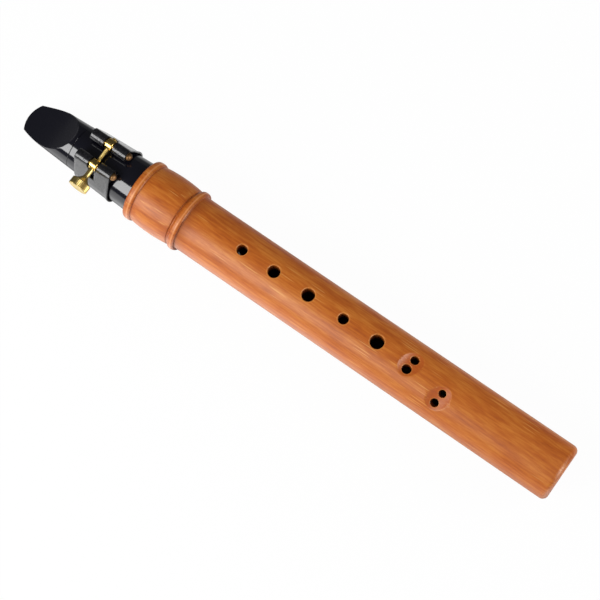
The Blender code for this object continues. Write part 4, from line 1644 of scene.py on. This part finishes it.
@dataclass
class Reed(Piece):
    """The cane reed on the table."""

    length: float = 66.7 * MM
    setback: float = 0.3 * MM
    gap: float = 0.3 * MM
    tip_width: float = 13.1 * MM
    butt_width: float = 11.4 * MM
    thickness: float = 2.9 * MM
    tip_thickness: float = 0.25 * MM
    back_radius: float = 13.5 * MM
    vamp_length: float = 34.0 * MM
    tip_arc: float = Mouthpiece.tip_arc
    tip_arc_reach: float = Mouthpiece.tip_arc_reach
    table_depth: float = Mouthpiece.table_depth
    table_slope: float = Mouthpiece.table_slope
    columns: int = 61
    rows: int = 150
    row_curve: float = 1.1
    bark_fade: tuple = (-0.02 * MM, 0.03 * MM)
    soft_edge: float = 0.1 * MM

    def width_at(self, x: Array) -> Array:
        """Width, narrowing evenly from the tip to the butt."""
        return self.tip_width + (self.butt_width - self.tip_width) * x / self.length

    def thickness_at(self, x: Array, y: Array) -> tuple[Array, Array]:
        """The arched back t - y^2 / 2R, cut down by the vamp's slope to the tip.

        Args:
            x: distances from the reed's tip.
            y: distances from its middle.

        Returns:
            The thickness and how far the bark is left standing.
        """
        arched = self.thickness - y * y / (2.0 * self.back_radius)
        slope = (self.thickness - self.tip_thickness) / self.vamp_length
        vamp = self.tip_thickness + slope * x
        return np.minimum(arched, vamp), smooth_step(*self.bark_fade, vamp - arched)

    def build(self) -> Item:
        """Two facing grids, the flat and the back, joined round their edges.

        Returns:
            The piece.
        """
        share = np.linspace(0.0, 1.0, self.columns)[None, :] - 0.5
        x = (self.length * np.linspace(0.0, 1.0, self.rows) ** self.row_curve)[:, None]
        y = self.width_at(x) * share
        blend = np.maximum(1.0 - x / self.tip_arc_reach, 0.0)
        back = self.tip_arc - np.sqrt(self.tip_arc ** 2 - y ** 2)
        place = self.setback + x + back * blend
        top = -self.table_depth - self.table_slope * place - self.gap
        thick, bark = self.thickness_at(x + 0.0 * y, y)
        flat = np.stack([place, y, top], -1)
        outer = np.stack([place, y, top - thick], -1)[:, ::-1]
        loop = np.concatenate([flat, outer], axis=1)
        count = 2 * self.columns
        skin = np.concatenate([np.zeros_like(bark), bark[:, ::-1]], axis=1)
        rungs = np.arange(self.columns - 1)
        ends = [np.stack([row + rungs, row + rungs + 1, row + count - 2 - rungs,
                          row + count - 1 - rungs], -1) for row in (0, (len(x) - 1) * count)]
        item = make_piece("cane_reed", self.layout.from_tip(loop.reshape(-1, 3)),
                          [grid_quads(len(x), count, False, True), *ends], 30.0,
                          {"bark": skin.ravel()})
        round_edges(item, self.soft_edge, 50.0)
        return settle(item, self.finish, "reed", "reed")


# Ligature


class Side(Enum):
    """The two halves of the ligature, by the way they face across the axis."""

    FAR = 1.0
    KNOB = -1.0


@dataclass
class Ligature(Piece):
    """The band rolled round two brass rods, on the mouthpiece and the reed.

    The finish is that of the rods, and the fabric that of the band.
    """

    fabric: Material
    mouthpiece: Mouthpiece
    reed: Reed
    start: float = 40.1 * MM
    width: float = 21.2 * MM
    thickness: float = 0.9 * MM
    gap: float = 0.3 * MM
    roll_radius: float = 3.1 * MM
    seam_angle: float = math.radians(62.0)
    rod_spread: float = 6.25 * MM
    rod_clearance: float = 0.3 * MM
    rod_recess: float = 1.2 * MM
    rod_standout: float = 2.1 * MM
    boss_width: float = 3.9 * MM
    boss_rise: float = 1.05 * MM
    window_gap: float = 0.7 * MM
    far_drop: float = 3.2 * MM
    knob_drop: float = 7.0 * MM
    flare: float = 0.45 * MM
    flare_reach: float = 2.2 * MM
    thin_edge: float = 0.12
    thin_reach: float = 0.8 * MM
    soft_edge: float = 0.16 * MM
    side_rows: int = 14
    window_rows: int = 7
    corner_steps: int = 7
    corner_share: float = 0.6
    roll_steps: int = 72
    drop_steps: int = 8
    wall_steps: int = 6
    belt_steps: int = 60
    flare_steps: int = 12
    belt_samples: int = 400
    back_samples: int = 81
    hole_clearance: tuple = (0.1 * MM, 0.3 * MM)
    bend_heights: tuple = (-14.0 * MM, 9.0 * MM)
    hollow_fade: tuple = (0.05 * MM, 0.5 * MM)
    hollow_height: float = 0.2 * MM
    rod_round: float = 0.3 * MM
    boss_round: float = 0.35 * MM
    columns: int = 96

    def __post_init__(self) -> None:
        """Work out the rods' places from the mouthpiece, the reed and the band."""
        self.middle = self.start + self.width / 2.0
        reach = self.mouthpiece.taper(self.start + self.width) + self.gap + self.roll_radius
        self.rod_reach = float(reach)
        self.rod_height = math.sqrt(self.rod_reach ** 2 - self.rod_spread ** 2)
        self.rod_radius = self.roll_radius - self.thickness - self.rod_clearance
        self.boss_radius = self.rod_radius + self.boss_rise

    def belt(self, x: float, angle: Array) -> Array:
        """Points (y, z) of the band's middle line round the mouthpiece and the reed.

        Formula: at each angle, the point of the circle or of the reed's back that
        lies farthest that way, plus the gap and half the band's thickness.

        Args:
            x: place along the mouthpiece.
            angle: angles from the top.

        Returns:
            One point for each angle.
        """
        way = np.stack([np.sin(angle), np.cos(angle)], -1)
        along = np.array([x - self.reed.setback])
        y = self.reed.width_at(along) * np.linspace(-0.5, 0.5, self.back_samples)
        table = -self.reed.table_depth - self.reed.table_slope * x - self.reed.gap
        back = np.stack([y, table - self.reed.thickness_at(along, y)[0]], -1)
        reach = way @ back.T
        best = reach.argmax(axis=1)
        taper = self.mouthpiece.taper(x)
        on_reed = reach.max(axis=1) > taper
        support = np.where(on_reed[:, None], back[best], taper * way)
        return support + (self.gap + self.thickness / 2.0) * way

    def half_path(self, x: float, drop: float) -> Array:
        """Middle line of half the band at x: a roll, the straight drop and the belt.

        Args:
            x: place along the mouthpiece.
            drop: how far under the rod the window's lower edge lies.

        Returns:
            Points (y, z) at even steps of each stretch.
        """
        middle = self.roll_radius - self.thickness / 2.0
        belt = self.mouthpiece.taper(x) + self.gap + self.thickness / 2.0
        lean = math.atan2(self.rod_spread, self.rod_height)
        tangent = lean + math.acos((belt - middle) / self.rod_reach)
        angle = np.linspace(tangent + self.seam_angle - TURN, tangent, self.roll_steps + 1)
        roll = np.stack([self.rod_spread + middle * np.sin(angle),
                         self.rod_height + middle * np.cos(angle)], -1)
        round_ = self.belt(x, np.linspace(tangent, math.pi, self.belt_samples))
        length = np.concatenate([[0.0], np.cumsum(np.hypot(*np.diff(round_, axis=0).T))])
        even = np.linspace(0.0, length[-1], self.belt_steps + 1)
        belted = np.stack([np.interp(even, length, round_[:, k]) for k in (0, 1)], -1)
        belted[-1, 0] = 0.0
        top, foot = roll[-1], belted[0]
        share = (top[1] - (self.rod_height - drop)) / (top[1] - foot[1])
        down = np.arange(1, self.drop_steps + 1) / self.drop_steps
        further = np.arange(1, self.wall_steps + 1) / self.wall_steps
        upper = top + (foot - top) * share * down[:, None]
        lower = top + (foot - top) * (share + (1.0 - share) * further)[:, None]
        return np.concatenate([roll, upper, lower, belted[1:]])

    def band_half(self, side: Side) -> Item:
        """Half the band as a thick sheet with its window, from the roll to the bottom.

        Args:
            side: which half.

        Returns:
            The piece.
        """
        drop = self.far_drop if side is Side.FAR else self.knob_drop
        window = self.boss_width / 2.0 + self.window_gap
        half = self.width / 2.0
        x = np.concatenate([np.linspace(-half, -window, self.side_rows),
                            np.linspace(-window, window, self.window_rows)[1:-1],
                            np.linspace(window, half, self.side_rows)])
        path = np.stack([self.half_path(self.middle + place, drop) for place in x])
        way = np.gradient(path, axis=1)
        way /= np.linalg.norm(way, axis=-1, keepdims=True)
        way[:, -1] = (-1.0, 0.0)
        out = np.stack([-way[..., 1], way[..., 0]], -1)
        length = np.cumsum(np.hypot(*np.diff(path, axis=1, prepend=path[:, :1]).transpose(2, 0, 1)),
                           axis=1)
        length = length[:, -1:] - length
        crown = 1.0 - self.thin_edge * smooth_step(half - self.thin_reach, half, np.abs(x))
        lift = self.flare * smooth_step(half - self.flare_reach, half, x)[:, None]
        belted = smooth_step(self.roll_steps, self.roll_steps + self.flare_steps,
                             np.arange(path.shape[1])[None, :])
        rows = []
        for way_out in (1.0, -1.0):
            offset = way_out * self.thickness / 2.0 * crown[:, None] + lift * belted
            rows.append(path + out * offset[..., None])
        cut = self.roll_steps + self.drop_steps
        keep = np.ones((len(x) - 1, path.shape[1] - 1), bool)
        inside = (x[:-1] > -window - 1e-9) & (x[1:] < window + 1e-9)
        keep[np.ix_(inside, np.arange(cut))] = False
        beside = np.abs(x[:-1] + x[1:]) / 2.0 > self.corner_share * window
        keep[np.ix_(inside & beside, np.arange(cut - self.corner_steps, cut))] = True
        place = np.broadcast_to(x[:, None], path.shape[:2])
        sheets = [np.stack([self.middle + place, side.value * row[..., 0], row[..., 1]], -1)
                  for row in rows]
        weave = np.stack([side.value * length, place, np.zeros_like(length)], -1)
        points, faces = thick_sheet(sheets[0], sheets[1], keep)
        marks = {"weave": np.concatenate([weave.reshape(-1, 3)] * 2)}
        item = make_piece(side.name.lower() + "_side_band", self.layout.from_tip(points), faces,
                          marks=marks)
        round_edges(item, self.soft_edge, 60.0)
        return item

    def post(self, side: Side) -> Item:
        """Brass rod with its drilled boss and its domed end toward the foot.

        Args:
            side: which half of the ligature it holds.

        Returns:
            The piece.
        """
        start = self.rod_recess - self.width / 2.0
        end = self.width / 2.0 + self.rod_standout
        boss, edge, soft = self.boss_width / 2.0, self.boss_round, self.rod_round
        rod, crown = self.rod_radius, self.boss_radius
        profile = np.concatenate([
            [(start, 0.0)],
            arc_points((start + soft, rod - soft), soft, *RISING, 5),
            straight(start + 5.0 * soft, -boss - soft, rod, 6),
            [(-boss, rod)],
            arc_points((edge - boss, crown - edge), edge, *RISING, 6),
            arc_points((boss - edge, crown - edge), edge, *FALLING, 6),
            [(boss, rod)],
            straight(boss + soft, end - rod - 0.5 * MM, rod, 6),
            arc_points((end - rod, 0.0), rod, *FALLING, 16)])
        profile[-1, 1] = 0.0
        points, quads = revolve(profile, self.columns)
        near_foot = np.abs(np.abs(points[:, 0]) - boss)
        hollow = (1.0 - smooth_step(*self.hollow_fade, near_foot)) * (
            np.hypot(points[:, 1], points[:, 2]) < rod + self.hollow_height)
        # The domed end toward the foot is painted dark brown.
        tip = smooth_step(end - self.rod_standout - 0.4 * MM, end - rod, points[:, 0])
        item = make_piece(side.name.lower() + "_side_post", points, [quads],
                          marks={"hollow": hollow, "brown_tip": tip})
        hole = ThumbScrew.thread_radius + self.hole_clearance[side is Side.KNOB]
        through = 4.0 * crown
        drill, quads = revolve(np.array([(-through, 0.0), (-through, hole), (through, hole),
                                         (through, 0.0)]), self.columns // 2)
        turned = np.stack([drill[:, 1], drill[:, 0], drill[:, 2]], -1)
        carve(item, [make_piece("drill", turned, [quads])])
        shift_mesh(item, self.layout.from_tip(np.array([
            self.middle, side.value * self.rod_spread, self.rod_height])))
        body, node = ("far_post", "far_post") if side is Side.FAR else ("ligature", "near_post")
        return settle(item, self.finish, body, node)

    def build(self) -> None:
        """Both posts and both halves of the band."""
        self.post(Side.KNOB)
        self.post(Side.FAR)
        settle(self.band_half(Side.KNOB), self.fabric, "ligature", "ligature_band")
        far = self.band_half(Side.FAR)
        low, high = (self.layout.from_tip(np.array([self.middle, 0.0, height])).tolist()
                     for height in self.bend_heights)
        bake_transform(far)
        dress(far, self.fabric, "ligature_band")


def thick_sheet(upper: Array, lower: Array, keep: Array) -> tuple[Array, list[Array]]:
    """Closed sheet between two grids, with walls round every border.

    Args:
        upper: points of the outer grid, rows by columns.
        lower: points of the inner grid.
        keep: mask of the cells that the sheet has.

    Returns:
        The points and the faces.
    """
    rows, columns = upper.shape[:2]
    size = rows * columns
    number = np.arange(size).reshape(rows, columns)
    sheet = grid_quads(rows, columns, keep=keep)
    padded = np.pad(keep, 1)
    across = padded[:-1, 1:-1] != padded[1:, 1:-1]
    along = padded[1:-1, :-1] != padded[1:-1, 1:]
    edges = np.concatenate([
        np.stack([number[:, :-1][across], number[:, 1:][across]], -1),
        np.stack([number[:-1, :][along], number[1:, :][along]], -1)])
    walls = np.stack([edges[:, 0], edges[:, 1], edges[:, 1] + size, edges[:, 0] + size], -1)
    points = np.concatenate([upper.reshape(-1, 3), lower.reshape(-1, 3)])
    return points, [sheet, sheet[:, ::-1] + size, walls]


@dataclass
class ThumbScrew(Piece):
    """The thumb screw: thread, shoulder, flared neck and knurled knob."""

    ligature: Ligature
    thread_radius: float = 1.1 * MM
    thread_depth: float = 0.2 * MM
    pitch: float = 0.5 * MM
    shoulder_radius: float = 1.3 * MM
    thread_end: float = -9.9 * MM
    shoulder_start: float = 9.45 * MM
    neck_start: float = 13.25 * MM
    knob_start: float = 16.8 * MM
    knob_face: float = 20.7 * MM
    neck_radius: float = 4.2 * MM
    neck_flare: float = 1.8
    knob_radius: float = 5.0 * MM
    knob_edge: float = 0.35 * MM
    teeth: int = 36
    tooth_depth: float = 0.25 * MM
    thread_runout: tuple = (0.9 * MM, 1.6 * MM)
    knob_recess: float = 0.12 * MM

    def build(self) -> Item:
        """The screw as one surface of revolution with a thread and teeth in its radius.

        Formula: the thread lowers the radius by depth times a triangle wave of
        s / pitch - angle / turn, and the teeth lower the knob's by depth times a
        rounded wave of the angle.

        Returns:
            The piece.
        """
        thread_stop, thread_fade = (self.shoulder_start - back for back in self.thread_runout)
        thread = np.arange(self.thread_end, thread_stop, self.pitch / 8.0)
        share = np.linspace(0.0, 1.0, 20)
        neck = np.stack([
            self.neck_start + (self.knob_start - self.neck_start) * share,
            self.shoulder_radius + (self.neck_radius - self.shoulder_radius)
            * share ** self.neck_flare], -1)
        edge, rim = self.knob_edge, self.knob_radius
        recess = self.knob_face - self.knob_recess
        profile = np.concatenate([
            [(self.thread_end - 0.02 * MM, 0.0), (self.thread_end - 0.02 * MM, 0.8 * MM)],
            np.stack([thread, np.full(len(thread), self.thread_radius)], -1),
            [(self.shoulder_start - 0.5 * MM, self.thread_radius),
             (self.shoulder_start, self.thread_radius),
             (self.shoulder_start, self.shoulder_radius - 0.1 * MM),
             (self.shoulder_start + 0.1 * MM, self.shoulder_radius),
             (self.shoulder_start + 1.5 * MM, self.shoulder_radius)],
            neck,
            arc_points((self.knob_start + edge, rim - edge), edge, *RISING, 5),
            straight(self.knob_start + 2.0 * edge, self.knob_face - 2.0 * edge, rim, 10),
            arc_points((self.knob_face - edge, rim - edge), edge, *FALLING, 5),
            [(self.knob_face, 3.6 * MM), (recess, 3.3 * MM), (recess, 1.2 * MM), (recess, 0.0)]])
        columns = 4 * self.teeth
        turn = TURN * np.arange(columns)[None, :] / columns
        place, radius = profile[:, :1], profile[:, 1:]
        phase = (place / self.pitch - turn / TURN) % 1.0
        wave = np.abs(2.0 * phase - 1.0)
        cut = smooth_step(thread_stop, thread_fade, place)
        threaded = radius - self.thread_depth * wave * cut * (radius > 0.9 * MM)
        tooth = np.array([0.0, 0.5, 1.0, 0.5])[np.arange(columns) % 4][None, :]
        on_rim = smooth_step(rim - edge * 1.2, rim - edge * 0.4, radius)
        radius = threaded - self.tooth_depth * tooth * on_rim
        hollow = np.maximum(0.9 * tooth * on_rim, 0.5 * wave * cut)
        screw = np.stack([radius * np.sin(turn), -place + 0.0 * turn, radius * np.cos(turn)], -1)
        offset = np.array([self.ligature.middle, 0.0, self.ligature.rod_height])
        item = make_piece(
            "knurled_thumb_screw", self.layout.from_tip(screw.reshape(-1, 3) + offset),
            [grid_quads(len(profile), columns, False, True)], 30.0, {"hollow": hollow.ravel()})
        return settle(item, self.finish, "thumb_screw", "thumb_screw")


# Studio


@dataclass(frozen=True)
class Softbox:
    """A rectangular soft light that faces its target."""

    name: str
    place: tuple
    size: tuple
    power: float
    target: tuple = (0.0, 0.0, 0.0)
    glossy: bool = True
    diffuse: bool = True

    def build(self) -> None:
        """Add the light, seen by the kinds of ray that it is for."""
        data = bpy.data.lights.new(self.name, "AREA")
        data.shape, data.size, data.size_y = "RECTANGLE", *self.size
        data.energy = self.power * self.size[0] * self.size[1] * math.pi
        item = link_new(self.name, data)
        item.location = self.place
        z_axis = -(Vector(self.target) - Vector(self.place)).normalized()
        x_axis = Vector((1.0, 0.0, 0.0))
        x_axis = (x_axis - z_axis * x_axis.dot(z_axis)).normalized()
        turn = Matrix((x_axis, z_axis.cross(x_axis), z_axis)).transposed()
        item.rotation_euler = turn.to_euler()
        item.visible_camera = False
        item.visible_glossy, item.visible_diffuse = self.glossy, self.diffuse


@dataclass
class Studio:
    """Camera, pale floor and soft lights.

    The camera is fitted to the photograph: the focal length is in pixels, and
    along_x and along_y turn its right side from the instrument's axis. The
    floor's strips, in metres, are what the polished pieces mirror.
    """

    layout: Layout
    focal: float = 1694.7
    image_width: int = 600
    sensor: float = 36.0
    clip: tuple = (0.01, 50.0)
    tilt: float = math.radians(10.61)
    roll: float = math.radians(11.3)
    distance: float = 0.8142
    aim: float = 0.14893
    aim_across: float = 0.001366
    along_x: float = 0.826173
    along_y: float = 0.563414
    floor_edge: float = 4.0
    floor_drop: float = 0.2 * MM
    floor_shades: tuple = ((0.82, 0.82, 0.82), (0.86, 0.86, 0.86))
    floor_clouds: float = 3.0
    floor_roughness: float = 0.9
    floor_glow: float = 0.42
    floor_share: float = 0.97
    near_floor: float = 1.25
    body_floor: float = 1.2
    far_floor: float = 0.6
    foot_floor: float = 1.6
    under_floor: float = 0.1
    near_rise: tuple = (0.008, 0.026)
    near_fall: tuple = (0.35, 0.6)
    tip_rise: tuple = (-0.2, -0.165)
    body_rise: tuple = (-0.11, -0.08)
    body_fall: tuple = (0.0, 0.1)
    far_rise: tuple = (0.0, 0.01)
    far_fall: tuple = (0.04, 0.075)
    foot_rise: tuple = (0.16, 0.18)
    foot_fall: tuple = (0.0, 0.03)
    sky: tuple = (0.96, 0.97, 1.0, 1.0)
    surround_glow: float = 0.06
    open_glow: float = 0.3
    key_elevation: float = math.radians(38.0)
    key_reach: float = 0.75
    key_along: float = -0.34

    def camera(self) -> None:
        """Camera at the photograph's viewing angle, from its fitted axes."""
        layout = self.layout
        up = Vector((0.0, -math.sin(self.roll), math.cos(self.roll)))
        down = Vector((0.0, -math.cos(self.roll), -math.sin(self.roll)))
        x_axis = Vector((1.0, 0.0, 0.0))
        back = math.cos(self.tilt) * up + math.sin(self.tilt) * x_axis
        slope = math.cos(self.tilt) * x_axis - math.sin(self.tilt) * up
        right = self.along_x * slope - self.along_y * down
        above = -(self.along_y * slope + self.along_x * down)
        target = Vector((layout.foot_x - self.aim, layout.axis_y, layout.axis_z))
        place = target + self.aim_across * down + self.distance * back
        data = bpy.data.cameras.new("photo_camera")
        data.sensor_width = self.sensor
        data.lens = self.focal / self.image_width * data.sensor_width
        data.clip_start, data.clip_end = self.clip
        item = link_new("photo_camera", data)
        turn = Matrix((right, above, back)).transposed()
        item.matrix_world = Matrix.Translation(place) @ turn.to_4x4()
        bpy.context.scene.camera = item

    def mirrored(self, graph: Graph) -> Socket:
        """Glow of the floor in reflections: strips that rise and fall across it.

        Args:
            graph: the floor's graph.

        Returns:
            The glow's strength.
        """
        def strip(rising: Socket, rise: tuple, falling: Socket, fall: tuple,
                  level: float = 1.0) -> Socket:
            """A level that comes in over one range and fades out over another."""
            return graph.math("MULTIPLY", graph.ramp(rising, *rise),
                              graph.between(graph.ramp(falling, *fall), level, 0.0))

        split = graph.add("ShaderNodeSeparateXYZ", {"Vector": graph.place()})
        across, along = split.outputs["Y"], split.outputs["X"]
        nearer = graph.math("MULTIPLY", across, -1.0)
        past_tip = graph.ramp(along, *self.tip_rise)
        near_side = graph.math(
            "MULTIPLY", strip(nearer, self.near_rise, nearer, self.near_fall), past_tip)
        by_body = strip(along, self.body_rise, along, self.body_fall, self.body_floor)
        near_light = graph.math("MULTIPLY", near_side,
                                graph.math("ADD", by_body, self.near_floor))
        far_side = strip(across, self.far_rise, across, self.far_fall, self.far_floor)
        past_foot = strip(along, self.foot_rise, across, self.foot_fall, self.foot_floor)
        return graph.math("ADD", graph.math("ADD", near_light, self.under_floor),
                          graph.weighted(past_foot, (far_side, past_tip)))

    def floor_material(self) -> Material:
        """Pale matt paint, white to the camera and dimmer to the other rays.

        Returns:
            The material.
        """
        made = bpy.data.materials.new("pale_floor")
        made.use_nodes = True
        graph, nodes = Graph(made.node_tree), made.node_tree.nodes
        shader = nodes["Principled BSDF"]
        clouds = graph.noise(graph.place(), self.floor_clouds)
        graph.feed(shader, {"Base Color": graph.mix(clouds, *self.floor_shades),
                            "Roughness": self.floor_roughness})
        rays = graph.add("ShaderNodeLightPath").outputs
        glow = graph.choice(rays["Is Glossy Ray"], self.floor_glow, self.mirrored(graph))
        light = graph.add("ShaderNodeEmission", {
            "Color": (1.0, 1.0, 1.0, 1.0),
            "Strength": graph.choice(rays["Is Camera Ray"], glow, 1.0)})
        shown = graph.add("ShaderNodeMixShader", {
            0: self.floor_share, 1: shader.outputs[0], 2: light.outputs[0]})
        graph.feed(nodes["Material Output"], {"Surface": shown.outputs[0]})
        return made

    def floor(self) -> None:
        """A plain pale floor just under the instrument."""
        mesh = bpy.data.meshes.new("floor")
        edge, drop = self.floor_edge, -self.floor_drop
        mesh.from_pydata([(-edge, -edge, drop), (edge, -edge, drop),
                          (edge, edge, drop), (-edge, edge, drop)], [], [(0, 1, 2, 3)])
        mesh.materials.append(self.floor_material())
        link_new("floor", mesh)

    def surround(self) -> None:
        """A pale surround, white to the camera and dim in reflections."""
        world = bpy.data.worlds.new("surround")
        world.use_nodes = True
        graph = Graph(world.node_tree)
        rays = graph.add("ShaderNodeLightPath").outputs
        glow = graph.between(rays["Is Glossy Ray"], self.open_glow, self.surround_glow)
        graph.feed(world.node_tree.nodes["Background"], {
            "Color": self.sky, "Strength": graph.math("MAXIMUM", glow, rays["Is Camera Ray"])})
        bpy.context.scene.world = world

    def lights(self) -> tuple[Softbox, ...]:
        """The key light on the knob's side, the far fill and the foot's highlight.

        Returns:
            The lights.
        """
        across, up = math.cos(self.key_elevation), math.sin(self.key_elevation)
        key_place = (self.key_along, -self.key_reach * across, self.key_reach * up)
        return (
            Softbox("key_softbox", key_place, (0.66, 0.55), 7.0),
            Softbox("far_fill", (0.6, 0.5, 0.25), (0.4, 0.6), 5.6, (0.08, 0.0, 0.0),
                    glossy=False),
            Softbox("foot_softbox", (0.75, 0.02, 0.45), (0.55, 0.4), 12.0, (0.15, 0.0, 0.0),
                    diffuse=False))

    def build(self) -> None:
        """Everything that is not the instrument."""
        self.camera()
        self.floor()
        self.surround()
        for light in self.lights():
            light.build()
        view = bpy.context.scene.view_settings
        view.view_transform, view.look = "Standard", "None"


def main() -> None:
    """Build and dress every piece, then the studio."""
    logging.basicConfig(level=logging.INFO, format="%(name)s: %(message)s")
    layout, effects = Layout(), Effects()
    bright = Brass(effects, "rod_brass", Polish.BRIGHT).build()
    satin = Brass(effects, "knob_brass", Polish.SATIN, color=(0.72, 0.55, 0.20),
                  tarnish=(0.13, 0.09, 0.035)).build()
    TurnedBody(layout, OiledPearWood(effects).build()).build()
    mouthpiece = Mouthpiece(layout, PolishedEbonite(effects).build())
    mouthpiece.build()
    TenonCork(layout, GreasedCork(effects).build()).build()
    reed = Reed(layout, ReedCane(effects).build())
    reed.build()
    ligature = Ligature(layout, bright, CoatedFabric(effects).build(), mouthpiece, reed)
    ligature.build()
    ThumbScrew(layout, satin, ligature).build()
    Studio(layout).build()


if __name__ == "__main__":
    main()
